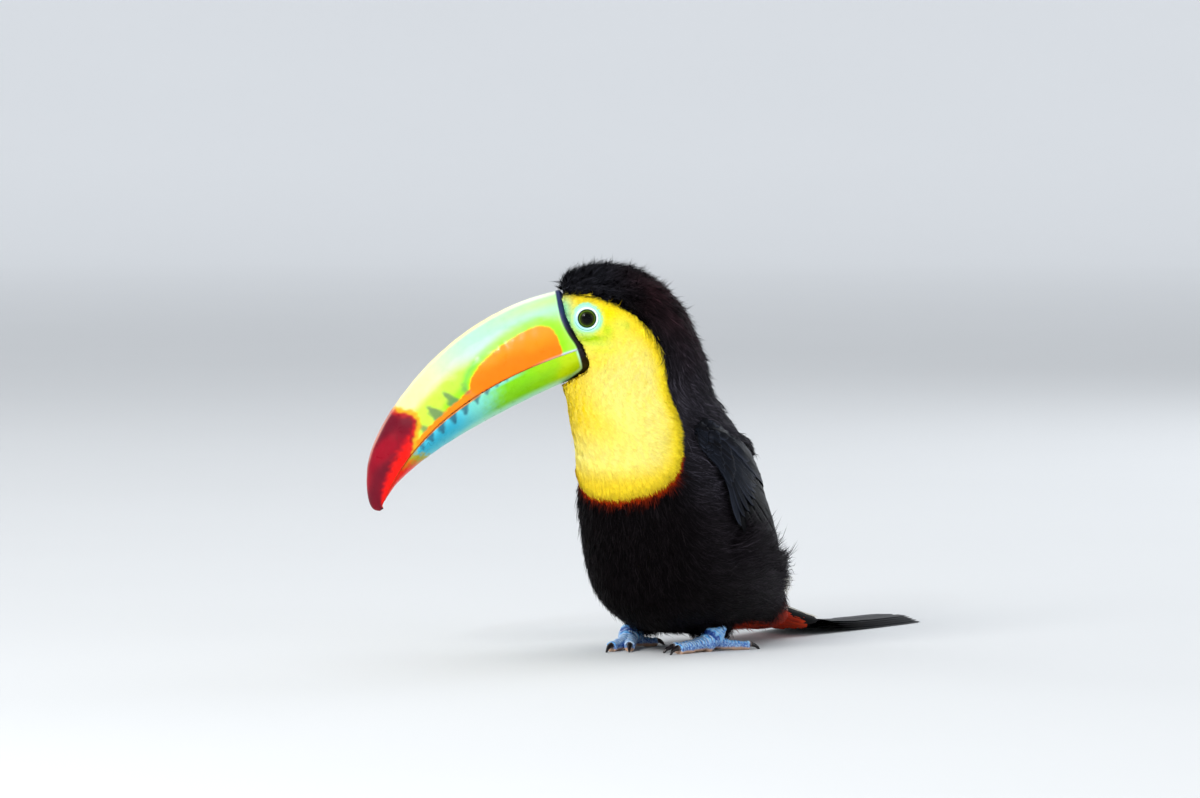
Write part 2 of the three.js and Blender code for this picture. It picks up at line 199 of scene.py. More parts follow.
def ring_place(profile):
    """Where profile points lie on the body's rings: the station from 0 at the tail root to 1 at
    the bill, the share from belly to back, and the direction towards the tail."""
    stations = np.linspace(0, 1, 161)
    table = spline(RINGS, stations)
    belly, back = table[:, 0:2], table[:, 2:4]
    reach = back - belly
    place = np.empty(len(profile))
    share = np.empty(len(profile))
    for block in np.array_split(np.arange(len(profile)), 1 + len(profile) // BLOCK):
        flat = profile[block][:, [0, 2]]
        offset = flat[:, None, :] - belly[None]
        across = np.abs(offset[..., 0] * reach[:, 1] - offset[..., 1] * reach[:, 0])
        across = across / np.linalg.norm(reach, axis=1)
        height = (offset * reach).sum(-1) / (reach**2).sum(-1)
        across = across + 400 * np.maximum(np.abs(height - 0.5) - 0.75, 0)
        best = across.argmin(1)
        place[block] = stations[best]
        share[block] = np.clip(height[np.arange(len(block)), best], 0, 1)
    step = 0.01
    ahead = spline(RINGS, np.minimum(place + step, 1))
    behind = spline(RINGS, np.maximum(place - step, 0))
    tailward = blend(behind[:, 0:2] - ahead[:, 0:2], behind[:, 2:4] - ahead[:, 2:4], share)
    widen = (behind[:, 4] - ahead[:, 4]) * np.clip(profile[:, 1] / ahead[:, 4], -1, 1)
    direction = unit(np.stack([tailward[:, 0], widen, tailward[:, 1]], 1))
    backward = unit(ahead[:, 2:4] - ahead[:, 0:2])
    sweep = SIDE_SWEEP * mix(0.55, 1, smoothstep(place, 0.2, 0.36)) * smoothstep(place, 0.08, 0.16)
    sweep = sweep * smoothstep(place, 0.62, 0.46)
    sweep = sweep * smoothstep(share, 0.1, 0.4) * smoothstep(share, 0.9, 0.7)
    direction[:, [0, 2]] += backward * sweep[:, None]
    return place, share, unit(direction)


def lie_of_coat(points):
    """The way that feathers point at model points: from the bill towards the tail."""
    profile = to_profile(points)
    direction = ring_place(profile)[2]
    return unit(to_model(profile + direction) - to_model(profile))


# ---------------------------------------------------------------- meshes


def linked(name, data):
    """A new object of the scene that holds the data."""
    piece = bpy.data.objects.new(name, data)
    bpy.context.scene.collection.objects.link(piece)
    return piece


def make_piece(name, points, faces, paint=None, uv=None):
    """A smooth mesh object; paint is a linear colour for each point, uv a place for each point."""
    points = np.asarray(points, np.float32)
    faces = np.asarray(faces, np.int32)
    count, size = faces.shape
    mesh = bpy.data.meshes.new(name)
    mesh.vertices.add(len(points))
    mesh.vertices.foreach_set("co", points.ravel())
    mesh.loops.add(count * size)
    mesh.loops.foreach_set("vertex_index", faces.ravel())
    mesh.polygons.add(count)
    mesh.polygons.foreach_set("loop_start", np.arange(0, count * size, size, dtype=np.int32))
    mesh.polygons.foreach_set("use_smooth", np.ones(count, bool))
    mesh.update(calc_edges=True)
    if uv is not None:
        layer = mesh.uv_layers.new(name="OFBake")
        layer.data.foreach_set("uv", np.asarray(uv, np.float32)[faces.ravel()].ravel())
    if paint is not None:
        set_paint(mesh, paint)
    return linked(name, mesh)


def set_paint(mesh, paint):
    """Gives each point of a mesh its linear colour."""
    layer = mesh.color_attributes.new("paint", "FLOAT_COLOR", "POINT")
    rgba = np.ones((len(mesh.vertices), 4), np.float32)
    rgba[:, :3] = np.clip(paint, 0, 1)
    layer.data.foreach_set("color", rgba.ravel())


def finish_piece(piece, finish, slot, *nodes):
    """Gives a piece its material and its body, and hides the CAD nodes that it stands for; the slot is
    not used.
    """
    piece.data.materials.clear()
    piece.data.materials.append(FINISHES[finish])
    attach(piece, "root")
    if nodes:
        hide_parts(*nodes)
    return piece


def grid_faces(rows, columns, closed=False):
    """Quads over a grid of points stored row by row; closed joins the last column to the first."""
    across = columns if closed else columns - 1
    row, column = np.meshgrid(np.arange(rows - 1), np.arange(across), indexing="ij")
    row, column = row.ravel(), column.ravel()
    beside = (column + 1) % columns
    return np.stack([
        row * columns + column,
        row * columns + beside,
        (row + 1) * columns + beside,
        (row + 1) * columns + column,
    ], 1)


def values_of(items, key, size, kind=np.float32):
    """One property of all items, as rows of the given size."""
    flat = np.empty(len(items) * size, kind)
    items.foreach_get(key, flat)
    return flat.reshape(-1, size)


def points_of(mesh):
    return values_of(mesh.vertices, "co", 3).astype(float)


def normals_of(mesh):
    return values_of(mesh.vertex_normals, "vector", 3).astype(float)


def set_points(mesh, points):
    mesh.vertices.foreach_set("co", np.asarray(points, np.float32).ravel())
    mesh.update()


def neighbour_mean(mesh, values):
    """The mean of each point's neighbours' values."""
    first, second = values_of(mesh.edges, "vertices", 2, np.int32).T
    count = len(mesh.vertices)
    degree = np.bincount(first, minlength=count) + np.bincount(second, minlength=count)
    columns = [
        np.bincount(first, values[second, k], count) + np.bincount(second, values[first, k], count)
        for k in range(values.shape[1])
    ]
    return np.stack(columns, 1) / np.maximum(degree, 1)[:, None]


def relax(mesh, rounds, pull=0.5, push=-0.53):
    """Smooths a mesh without shrinking it: each round pulls in, then pushes back out."""
    points = points_of(mesh)
    for _ in range(rounds):
        for share in (pull, push):
            points += share * (neighbour_mean(mesh, points) - points)
    set_points(mesh, points)


def merged_copy(name, nodes, grow, cuts):
    """One mesh of copies of CAD nodes, each grown along its normals. A node named in cuts keeps
    only what lies over that height, and is closed there."""
    joined = bmesh.new()
    for node in nodes:
        single = bmesh.new()
        single.from_mesh(NODES[node].data)
        bmesh.ops.remove_doubles(single, verts=single.verts, dist=0.01 * MM)
        single.normal_update()
        for vertex in single.verts:
            vertex.co += vertex.normal * grow
        if cuts and node in cuts:
            everything = single.verts[:] + single.edges[:] + single.faces[:]
            bmesh.ops.bisect_plane(
                single, geom=everything, plane_co=(0, 0, cuts[node]), plane_no=(0, 0, 1),
                clear_inner=True,
            )
            bmesh.ops.holes_fill(single, edges=single.edges[:])
        scratch = bpy.data.meshes.new("scratch")
        single.to_mesh(scratch)
        joined.from_mesh(scratch)
        single.free()
        bpy.data.meshes.remove(scratch)
    mesh = bpy.data.meshes.new(name)
    joined.to_mesh(mesh)
    joined.free()
    return mesh


def remeshed(name, nodes, voxel, rounds, grow=0.0, cuts=None):
    """An even skin of small quads over copies of CAD nodes, which may overlap, smoothed for a
    number of rounds. It may be grown and cut as merged_copy says."""
    piece = linked(name, merged_copy(f"{name}_blank", nodes, grow, cuts))
    modifier = piece.modifiers.new("remesh", "REMESH")
    modifier.mode = "VOXEL"
    modifier.voxel_size = voxel
    modifier.use_smooth_shade = True
    result = bpy.data.meshes.new_from_object(
        piece.evaluated_get(bpy.context.evaluated_depsgraph_get())
    )
    piece.modifiers.clear()
    piece.data = result
    result.name = name
    relax(result, rounds)
    return piece


OUTER_REACH = 7 * MM  # a wing lies over the skin by less than this


def tree_of(*meshes):
    """One search tree over several meshes."""
    points = []
    faces = []
    for mesh in meshes:
        start = len(points)
        points.extend(vertex.co.copy() for vertex in mesh.vertices)
        faces.extend([start + i for i in polygon.vertices] for polygon in mesh.polygons)
    return BVHTree.FromPolygons(points, faces)


def settle(tree, points, heights):
    """Moves points to the given heights over the nearest surface; also gives its normals there."""
    placed = np.empty((len(points), 3))
    normals = np.empty((len(points), 3))
    for k, point in enumerate(points):
        placed[k], normals[k] = tree.find_nearest(Vector(point))[:2]
    return placed + normals * np.reshape(heights, (-1, 1)), normals


def settle_outside(tree, points, outward):
    """Moves points to the outermost surface that lies near them, seen against outward."""
    placed = np.empty((len(points), 3))
    normals = np.empty((len(points), 3))
    for k, (point, out) in enumerate(zip(points, outward)):
        spot, normal = tree.ray_cast(Vector(point + out * OUTER_REACH), Vector(-out), 3 * OUTER_REACH)[:2]
        if spot is None:
            spot, normal = tree.find_nearest(Vector(point))[:2]
        placed[k], normals[k] = spot, normal
    return placed, normals


# ---------------------------------------------------------------- materials


class Nodes:
    """Short ways to build a material's node tree."""

    def __init__(self, name):
        self.material = bpy.data.materials.new(name)
        self.material.use_nodes = True
        self.tree = self.material.node_tree
        self.shader = self.tree.nodes["Principled BSDF"]

    def add(self, kind, inputs=(), **settings):
        node = self.tree.nodes.new(kind)
        for key, value in settings.items():
            setattr(node, key, value)
        for socket, value in dict(inputs).items():
            self.set(node, socket, value)
        return node

    def set(self, node, socket, value):
        if isinstance(value, bpy.types.NodeSocket):
            self.tree.links.new(value, node.inputs[socket])
        else:
            node.inputs[socket].default_value = value

    def shade(self, **values):
        for socket, value in values.items():
            self.set(self.shader, socket.replace("_", " "), value)

    def place(self):
        return self.add("ShaderNodeTexCoord").outputs["Object"]

    def paint(self):
        return self.add("ShaderNodeAttribute", attribute_name="paint").outputs["Color"]

    def noise(self, scale, detail=3, rough=0.55, stretch=None):
        place = self.place()
        if stretch is not None:
            place = self.add("ShaderNodeMapping", {"Vector": place, "Scale": stretch}).outputs[0]
        settings = {"Vector": place, "Scale": scale, "Detail": detail, "Roughness": rough}
        return self.add("ShaderNodeTexNoise", settings).outputs["Fac"]

    def ramp(self, value, low, high, to_low=0.0, to_high=1.0):
        settings = {"Value": value, 1: low, 2: high, 3: to_low, 4: to_high}
        return self.add("ShaderNodeMapRange", settings).outputs["Result"]

    def tint(self, base, value, low, high):
        """The base colour, lightened or darkened by a value from 0 to 1."""
        factor = self.ramp(value, 0.25, 0.75, low, high)
        node = self.add("ShaderNodeVectorMath", {0: base, 1: factor}, operation="MULTIPLY")
        return node.outputs["Vector"]

    def bump(self, height, strength, distance):
        settings = {"Height": height, "Strength": strength, "Distance": distance}
        return self.add("ShaderNodeBump", settings).outputs["Normal"]


def feather_finish(name, roughness, gloss, streak):
    """Tufts of feathers: painted colour, broken up by fine streaks."""
    nodes = Nodes(name)
    fine = nodes.noise(900, 4, 0.6)
    broad = nodes.noise(120, 2)
    shade = nodes.tint(nodes.paint(), fine, 1 - streak, 1 + streak)
    shade = nodes.tint(shade, broad, 1 - streak / 3, 1 + streak / 3)
    nodes.shade(
        Base_Color=shade,
        Roughness=nodes.ramp(broad, 0.3, 0.7, roughness - 0.06, roughness + 0.08),
        Specular_IOR_Level=gloss,
        Sheen_Roughness=0.4,
        Normal=nodes.bump(fine, 0.35, 0.0002),
    )
    return nodes.material


def grained_finish(name, grain, tint, rough, gloss, bump=None, cells=None, **settings):
    """Painted skin, scales or eyes: fine grain varies the colour and roughness between two
    values each, and cells, or else the grain, make the bump."""
    nodes = Nodes(name)
    if cells:
        cells = nodes.add("ShaderNodeTexVoronoi", {"Vector": nodes.place(), "Scale": cells})
    noise = nodes.noise(grain, 4)
    nodes.shade(
        Base_Color=nodes.tint(nodes.paint(), noise, *tint),
        Roughness=nodes.ramp(noise, 0.3, 0.7, *rough),
        Specular_IOR_Level=gloss,
        **settings,
    )
    if bump:
        nodes.shade(Normal=nodes.bump(cells.outputs["Distance"] if cells else noise, *bump))
    return nodes.material


def horn_finish(name, roughness, coat, grain_size):
    """Bill and claws: painted horn under a thin gloss, with faint grain and fine scratches."""
    nodes = Nodes(name)
    cloud = nodes.noise(grain_size, 4, 0.6)
    grain = nodes.noise(1500, 3, 0.6)
    nodes.shade(
        Base_Color=nodes.tint(nodes.paint(), cloud, 0.93, 1.06),
        Roughness=nodes.ramp(cloud, 0.3, 0.7, roughness - 0.05, roughness + 0.08),
        Specular_IOR_Level=0.12,
        Coat_Weight=coat,
        Coat_Roughness=0.12,
        Normal=nodes.bump(grain, 0.12, 0.0002),
    )
    return nodes.material


def vane_finish(name, roughness, gloss, contrast):
    """Firm vanes: fine slanting barbs on both sides of the shaft, and a gloss."""
    nodes = Nodes(name)
    barb = nodes.add("ShaderNodeAttribute", attribute_name="barb").outputs["Vector"]
    parts = nodes.add("ShaderNodeSeparateXYZ", {"Vector": barb}).outputs
    side = nodes.add("ShaderNodeMath", {0: parts["Y"]}, operation="ABSOLUTE").outputs[0]
    slant = nodes.add("ShaderNodeMath", {0: side, 1: -0.16, 2: parts["X"]}, operation="MULTIPLY_ADD")
    line = nodes.add("ShaderNodeCombineXYZ", {"X": slant.outputs[0], "Y": parts["Z"]}).outputs[0]
    settings = {"Vector": line, "Scale": 85, "Detail": 2, "Roughness": 0.5}
    stripes = nodes.add("ShaderNodeTexNoise", settings).outputs["Fac"]
    nodes.shade(
        Base_Color=nodes.tint(nodes.paint(), stripes, 1 - contrast, 1 + contrast),
        Roughness=nodes.ramp(stripes, 0.3, 0.7, roughness - 0.05, roughness + 0.1),
        Specular_IOR_Level=gloss,
        Normal=nodes.bump(stripes, 0.35, 0.0003),
    )
    return nodes.material


FINISHES = {
    "skin": grained_finish("skin", 700, (0.75, 1.15), (0.6, 0.8), 0.25, (0.5, 0.0003)),
    "scales": grained_finish(
        "leg_scales", 1100, (0.82, 1.15), (0.42, 0.6), 0.45, (0.3, 0.0002), cells=1500),
    "bare_skin": grained_finish(
        "bare_skin", 900, (0.92, 1.08), (0.36, 0.5), 0.4, (0.25, 0.0002), cells=1700,
        Subsurface_Weight=0.15, Subsurface_Radius=(0.002, 0.001, 0.0006), Subsurface_Scale=0.4),
    "eye": grained_finish(
        "eye_surface", 1400, (0.8, 1.2), (0.08, 0.14), 0.05, Coat_Weight=0.14, Coat_Roughness=0.02),
    "black_plumage": feather_finish("plumage_black", 0.45, 0.02, 0.35),
    "bright_plumage": feather_finish("plumage_bright", 0.75, 0.04, 0.08),
    "black_vanes": vane_finish("black_vanes", 0.32, 0.03, 0.4),
    "covert_vanes": vane_finish("covert_vanes", 0.7, 0.15, 0.12),
    "bill_upper": horn_finish("bill_upper", 0.3, 0.16, 260),
    "bill_lower": horn_finish("bill_lower", 0.3, 0.16, 260),
    "claw": horn_finish("claw", 0.28, 0.5, 500),
}

# ---------------------------------------------------------------- markings of skin and coat

# The edge of the yellow face and bib in profile [forward, up], from the forehead back over the
# ear, down the neck and forward under the breast.
BIB_EDGE = [
    [84, 178.5], [69, 178.6], [54.5, 178.4], [40, 174.6], [27, 166.3], [17, 153], [13.2, 136],
    [16, 118.5], [27, 105.4], [44, 89.3], [58.5, 78], [76, 68],
]
# Where the feathers end, from over the bill down its side and forward under the chin.
FEATHER_LINE = [
    [69.6, 187], [67.2, 181], [65.6, 173], [63.9, 166.3], [60.6, 160], [56.6, 154.3],
    [53.6, 147.8], [53, 142.6], [54.8, 139.6], [60, 136.2], [66, 133], [74, 127.5],
]
EYE_SPOT = np.array([52.9, 166.9])  # the eye's middle in profile
BARE_RADIUS = 7.6  # bare skin round the eye

BLACK = "#080607"
# A lighter, cooler black on the crown: its black with painted sheen.
CROWN_BLACK_AND_SHEEN = "#151519"
NAPE_BROWN = "#2c1a1e"
BLUE_BLACK = "#0a0b0f"
# The flanks' blacks, the second higher up and lighter: their own tint with painted sheen.
SIDE_BROWN_AND_SHEEN = "#161316"
SHOULDER_GREY_AND_SHEEN = "#232126"
YELLOW = "#fde02a"
# Deeper gold on the throat under the bill: partly its own colour, partly painted shade.
GOLD = "#f2d206"
LOW_GOLD = "#e6c72c"
# Paler yellow in the bib's middle: partly its own colour, partly painted highlight.
CREAM_AND_HIGHLIGHT = "#fbec84"
BAND_RED = "#a02c04"
# Edges of the black wing and tail vanes: partly pale fringes, partly painted highlight.
WING_FRINGE_AND_HIGHLIGHT = "#2a2b30"
# Painted bluish sheen on the coverts.
PAINTED_SHEEN_BLUE = "#1b1f28"
# Edges of the coverts: partly pale fringes, partly painted highlight.
COVERT_FRINGE_AND_HIGHLIGHT = "#343844"
BARE_GREEN = "#bdea86"
VENT_RED = "#c23208"
RUMP_WHITE = "#f1ece0"

# Soft patches of colour on the face: forward, up, reach forward, reach up, strength, colour.
FACE_PATCHES = [
    (64.5, 172, 4, 6, 0.9, "#8ce4bc"),
    (62, 165, 5, 6, 0.85, "#8fe2bc"),
    (60, 160, 4, 4, 0.7, "#bdea80"),
    (42, 170, 5, 4, 0.8, "#ffe600"),
    (51, 157.3, 9, 2.2, 0.95, "#a8d600"),
    (43, 161.5, 3.4, 3.6, 0.8, "#bfe01c"),
    (49, 154.6, 9, 1.2, 0.7, "#cdea4c"),
    (46, 151.5, 9, 2, 0.6, "#d2e630"),
    (36, 164.5, 4, 3.5, 0.5, "#d8f060"),
    (33, 163.6, 1.5, 2.2, 0.7, "#b9c83a"),
    (49, 146, 8, 5, 0.6, "#f6dc14"),
]


def edge_distance(flat, control, steps=160):
    """Distance of flat points from a smooth line, positive on the line's left."""
    line = spline(control, np.linspace(0, 1, steps))
    along = unit(np.gradient(line, axis=0))
    distance = np.empty(len(flat))
    for block in np.array_split(np.arange(len(flat)), 1 + len(flat) // BLOCK):
        offset = flat[block][:, None, :] - line[None]
        nearest = (offset**2).sum(-1).argmin(1)
        rows = np.arange(len(block))
        gap = offset[rows, nearest]
        way = along[nearest]
        side = np.sign(way[:, 0] * gap[:, 1] - way[:, 1] * gap[:, 0])
        distance[block] = side * np.linalg.norm(gap, axis=1)
    return distance


def eye_distance(profile):
    """How far profile points lie from the eye's middle, seen from the side."""
    return np.linalg.norm(profile[:, [0, 2]] - EYE_SPOT, axis=1)


def markings(profile):
    """Where each marking lies, as shares from 0 to 1 for each profile point."""
    forward, _, up = profile.T
    jagged = mix(0.35, 1, smoothstep(up, 140, 160))
    ragged = jagged * (0.6 * wobble(profile, 3.2, 5) + 0.45 * wobble(profile, 1.3, 6))
    inside = edge_distance(profile[:, [0, 2]], BIB_EDGE) + ragged
    place, share, _ = ring_place(profile)
    low_edge = smoothstep(up, 102, 98)
    width = mix(1.1, 3.6, smoothstep(up, 98, 84))
    return {
        "inside": inside,
        "bib": smoothstep(inside, -0.35, 0.35),
        "band": smoothstep(inside + width, -0.9, 0.9) * smoothstep(inside, 0.4, -0.2) * low_edge,
        "face": smoothstep(up, 138, 150),
        "bare": smoothstep(eye_distance(profile), BARE_RADIUS + 2.2, BARE_RADIUS - 1.2),
        "nape": smoothstep(share, 0.72, 1) * smoothstep(up, 105, 130),
        "crown": smoothstep(place, 0.72, 0.84),
        "tail_end": smoothstep(forward, -66, -76),
        "place": place,
        "share": share,
    }


def plumage_paint(profile):
    """The linear colour of the coat, and of the skin under it."""
    marks = markings(profile)
    forward, _, up = profile.T
    inside, place, share, tail_end = (marks[k] for k in ("inside", "place", "share", "tail_end"))
    brown = marks["nape"] * np.clip(0.65 + 0.4 * wobble(profile, 14, 8), 0, 1)
    blue = smoothstep(share, 0.55, 0.85) * smoothstep(up, 130, 110)
    flank = smoothstep(share, 0.15, 0.5) * smoothstep(place, 0.75, 0.5)
    under = smoothstep(forward, -26, -38) * smoothstep(share, 0.14, 0.05)
    dark = layered(
        blend(BLACK, NAPE_BROWN, brown),
        # The crown in a lighter black: painted sheen.
        (CROWN_BLACK_AND_SHEEN, marks["crown"]),
        (BLUE_BLACK, 0.6 * blue),
        # The flanks lighter, more so higher up: painted sheen over their own tint.
        (blend(SIDE_BROWN_AND_SHEEN, SHOULDER_GREY_AND_SHEEN, smoothstep(up, 66, 90)), flank),
        (VENT_RED, tail_end * smoothstep(share, 0.5, 0.3)),
        (VENT_RED, 0.8 * under),
        (RUMP_WHITE, tail_end * smoothstep(share, 0.72, 0.86)),
        (BAND_RED, marks["band"]),
    )
    streaks = wobble(profile * np.array([1, 1, 0.25]), 2.2, 9)
    # The bib's paler middle: partly its own colour, partly painted highlight.
    pale = smoothstep(inside, 2, 9) * smoothstep(up, 172, 140) * smoothstep(up, 82, 98)
    low = smoothstep(up, 102, 86) * smoothstep(inside, 16, 5)
    # Gold on the throat under the bill: partly its own colour, partly painted shade.
    throat = smoothstep(forward, 42, 60) * smoothstep(up, 98, 118) * (1 - marks["face"])
    patches = [
        (tint, strength * (bell(forward, ahead, reach_ahead) * bell(up, high, reach_up)))
        for ahead, high, reach_ahead, reach_up, strength, tint in FACE_PATCHES
    ]
    bright = layered(
        YELLOW,
        (CREAM_AND_HIGHLIGHT, pale * np.clip(0.8 + 0.25 * streaks, 0, 1)),
        (LOW_GOLD, low * np.clip(0.6 + 0.5 * streaks, 0, 1)),
        (GOLD, throat * np.clip(0.75 + 0.4 * streaks, 0, 1)),
        *patches,
        (BARE_GREEN, marks["bare"]),
    )
    return blend(dark, bright, marks["bib"])


# How far the skin lies under the feathered outline in each place, in millimetres.
BODY_DEPTH = 3.2
CROWN_DEPTH = 3.9
BIB_DEPTH = 1.2
FACE_DEPTH = 0.9
BARE_DEPTH = 0.45
CREST_DEPTH = 5.2
HORN_DEPTH = 1.8  # further in, behind the bill's base


def coat_depth(profile):
    """How far the skin lies under the feathered outline, in millimetres."""
    marks = markings(profile)
    up = profile[:, 2]
    depth = mix(BODY_DEPTH, CROWN_DEPTH, marks["crown"])
    inside = mix(BIB_DEPTH, FACE_DEPTH, marks["face"])
    depth = mix(depth, inside, smoothstep(marks["inside"], -2, 2))
    crest = smoothstep(up, 179, 184)
    near_bill = smoothstep(marks["place"], 0.9, 0.97)
    depth = mix(depth, mix(BIB_DEPTH, CREST_DEPTH, crest), near_bill)
    bare = smoothstep(eye_distance(profile), BARE_RADIUS + 3, BARE_RADIUS)
    depth = mix(depth, BARE_DEPTH, bare)
    under_horn = smoothstep(edge_distance(profile[:, [0, 2]], FEATHER_LINE), -0.4, 1)
    chin = smoothstep(up, 144, 141)
    return depth + HORN_DEPTH * under_horn * (1 - crest) * (1 - chin)


# ---------------------------------------------------------------- skin

SKIN_VOXEL = 1.15 * MM
SKIN_CLOSING = 0.4 * MM  # grown by this, the flesh nodes close the gaps between them
LEG_CUT = 9 * MM  # above this the legs are under the skin
ORBIT_EDGES = (5.5, 8.6, 12.5)  # round the eye the skin comes out again between these radii
ORBIT_FLOOR = 0.8  # inside them it lies this far under the seat of the bare ring
ORBIT_RISES = (1.9, 3)  # and it may come out by these on the way


def sink_orbits(points):
    """Draws the skin in round the eyes, so that it stays under the lids."""
    profile = to_profile(points)
    for sign in SIDES.values():
        middle = eye_centre(sign)
        out = np.hypot(profile[:, 0] - middle[0], profile[:, 2] - middle[2])
        limit = abs(middle[1]) + RING_SEAT - ORBIT_FLOOR
        for k, rise in enumerate(ORBIT_RISES):
            limit = limit + rise * smoothstep(out, ORBIT_EDGES[k], ORBIT_EDGES[k + 1])
        near = (out < ORBIT_EDGES[-1]) & (profile[:, 1] * sign > 0)
        profile[near, 1] = sign * np.minimum(np.abs(profile[near, 1]), limit[near])
    return to_model(profile)


def make_skin():
    flesh = ["head", "neck", "trunk", "rump"]
    plugs = ["eye_left", "eye_right", "leg_left", "leg_right"]
    cuts = {"leg_left": LEG_CUT, "leg_right": LEG_CUT}
    skin = remeshed("skin", flesh + plugs, SKIN_VOXEL, 10, SKIN_CLOSING, cuts)
    points = points_of(skin.data)
    depth = SKIN_CLOSING + coat_depth(to_profile(points)) * MM
    set_points(skin.data, sink_orbits(points - normals_of(skin.data) * depth[:, None]))
    relax(skin.data, 3)
    set_paint(skin.data, plumage_paint(to_profile(points_of(skin.data))))
    return finish_piece(skin, "skin", "black_feathers", *flesh)


# ---------------------------------------------------------------- coat

# How tufts grow in each region, lengths in millimetres.
# bends: pairs of points on a blade between its root and its tip; density: tufts per square
# millimetre; rise: tip height over the coat's depth; blades: how many in a tuft; spread: half width
# of a tuft at its root and tip; blade: half width of one blade; stray: spread of headings, degrees;
# unruly: 0 where the blades lie smooth, 1 where single ones stand out; flat: 1 where a tuft points
# out to its tip, more where its tip lies flat
TUFT_SETTINGS = (
    "bends", "density", "length", "rise", "blades", "spread", "blade", "stray", "unruly", "flat",
)
TUFT_TABLE = {
    "face": (1, 4.2, 3.4, 0.7, 4, (0.4, 0.7), 0.12, 7, 0, 1.7),
    "bib": (1, 1.9, 7.5, 0.8, 6, (0.6, 1.1), 0.14, 6, 0.02, 1.7),
    "crest": (2, 1.6, 7.6, 1.0, 4, (0.35, 0.25), 0.19, 12, 0.6, 1),
    "crown": (2, 1.5, 8, 1.15, 5, (0.4, 0.7), 0.16, 11, 0.9, 1.2),
    "nape": (2, 1.1, 11, 1.0, 6, (0.7, 1.3), 0.17, 11, 0.9, 1.3),
    "back": (1, 0.9, 10, 0.45, 7, (1.0, 2.2), 0.24, 8, 0.3, 1.7),
    "thigh": (2, 1.6, 10, 1.3, 7, (0.7, 1.5), 0.17, 14, 1, 1.7),
    "breast": (1, 1.0, 13, 1.0, 7, (0.8, 2.0), 0.19, 10, 0.9, 1.6),
    "belly": (1, 0.85, 14, 1.0, 7, (0.8, 2.2), 0.2, 12, 0.9, 1.6),
    "flank": (2, 1.0, 22, 1.25, 7, (0.8, 2.4), 0.17, 14, 1.0, 1.5),
    "vent": (1, 1.0, 13, 1.0, 7, (0.8, 2.0), 0.2, 10, 0.8, 1.7),
}
REGIONS = {name: dict(zip(TUFT_SETTINGS, row)) for name, row in TUFT_TABLE.items()}
REGION_NAMES = list(REGIONS)
REGION_SLOTS = {"face": "face_feathers", "bib": "bib_feathers"}
OVER_WINGS = ("flank", "back")  # tufts of these lie over the folded wings too
TUFT_STEPS = 3
TUFT_PATCH = 0.003  # each tuft's part of the UV map
PIECE_BLADES = 38000  # of up to five triangles each

# A blade has a pair of points at its root and at each step, then its tip. For each of them: its
# step, its place across, which of the tuft's three colours it has, and its painted shade on dark
# and on bright plumage: darker at the root, where other tufts lie over it, lighter towards the tip.
BLADE_ALONG = np.array([0, 0, 1, 1, 2, 2, 3])
BLADE_ACROSS = np.array([0, 1, 0, 1, 0, 1, 0.5])
BLADE_PATCHES = (0, 0, 0, 0, 1, 1, 2)
DARK_PAINTED_SHADE = np.array([0.5, 0.5, 0.8, 0.8, 1.05, 1.05, 1.3])[:, None]
BRIGHT_PAINTED_SHADE = np.array([0.86, 0.86, 0.97, 0.97, 1.02, 1.02, 1.05])[:, None]
BLADE_POINTS = {1: [0, 1, 4, 5, 6], 2: [0, 1, 2, 3, 4, 5, 6]}  # which of them it keeps, by bends
# The steps where a tuft takes its colours from the plumage, for its root, middle and tip
UPRIGHT_STEPS = (1, 1, 2)
FLAT_STEPS = (1, 2, 3)
# A blade's half width at its root and each step, by bends, as a share of the region's blade
BLADE_PROFILES = {1: (0.8, 1.0, 0.88), 2: (0.75, 1.0, 0.72)}

FLOOR_CLEARANCE = 0.3 * MM
CREST_BASE = 180.5  # feathers grow ahead of the feather line only above this
CHIN_TOP = 142  # and, a little way, below this
FACING_ROLL = 0.8  # how far a blade's shading follows its own roll
ROOT_DEPTH = 0.25  # tufts start this far under the skin
FACE_OVERHANG = 0.4  # how far the dark tufts at the face's edge turn down over it

THIGH_REACH = 13  # tufts this near to a leg hang down over its ankle
THIGH_TOP = 17  # where they grow from, at most
HANG_CLEARANCE = 5.4  # their tips end about this high over the floor

# The folded wing on the body's rings, from its bend to its tip: [station, upper edge, lower edge],
# the station counted from 0 to 18 along the rings and the edges in degrees, 0 on the back.
WING_OUTLINE = np.array([
    [8.6, 56, 74], [7.9, 45, 84], [6.6, 32, 91], [4.6, 16, 93],
    [2.6, 8, 76], [1.2, 8, 58], [0.4, 14, 38],
])
RING_STATIONS = 18


def past_wing_edge(profile):
    """How far below the folded wing's lower edge profile points lie, in degrees round the body."""
    place, share, _ = ring_place(profile)
    angle = np.degrees(np.arccos(np.clip(2 * share - 1, -1, 1)))
    station = place * RING_STATIONS
    stations, _, edge = WING_OUTLINE[::-1].T
    return angle - np.interp(station, stations, edge) + 60 * smoothstep(station, 8.1, 9)


def leg_distance(profile):
    """How far profile points lie from the nearer leg, level; far for all above the thighs."""
    gaps = [
        np.hypot(profile[:, 0] - (ahead - 4), profile[:, 1] - across)
        for ahead, across in FOOT_PLACE.values()
    ]
    return np.minimum(*gaps) + 99 * (profile[:, 2] > THIGH_TOP)


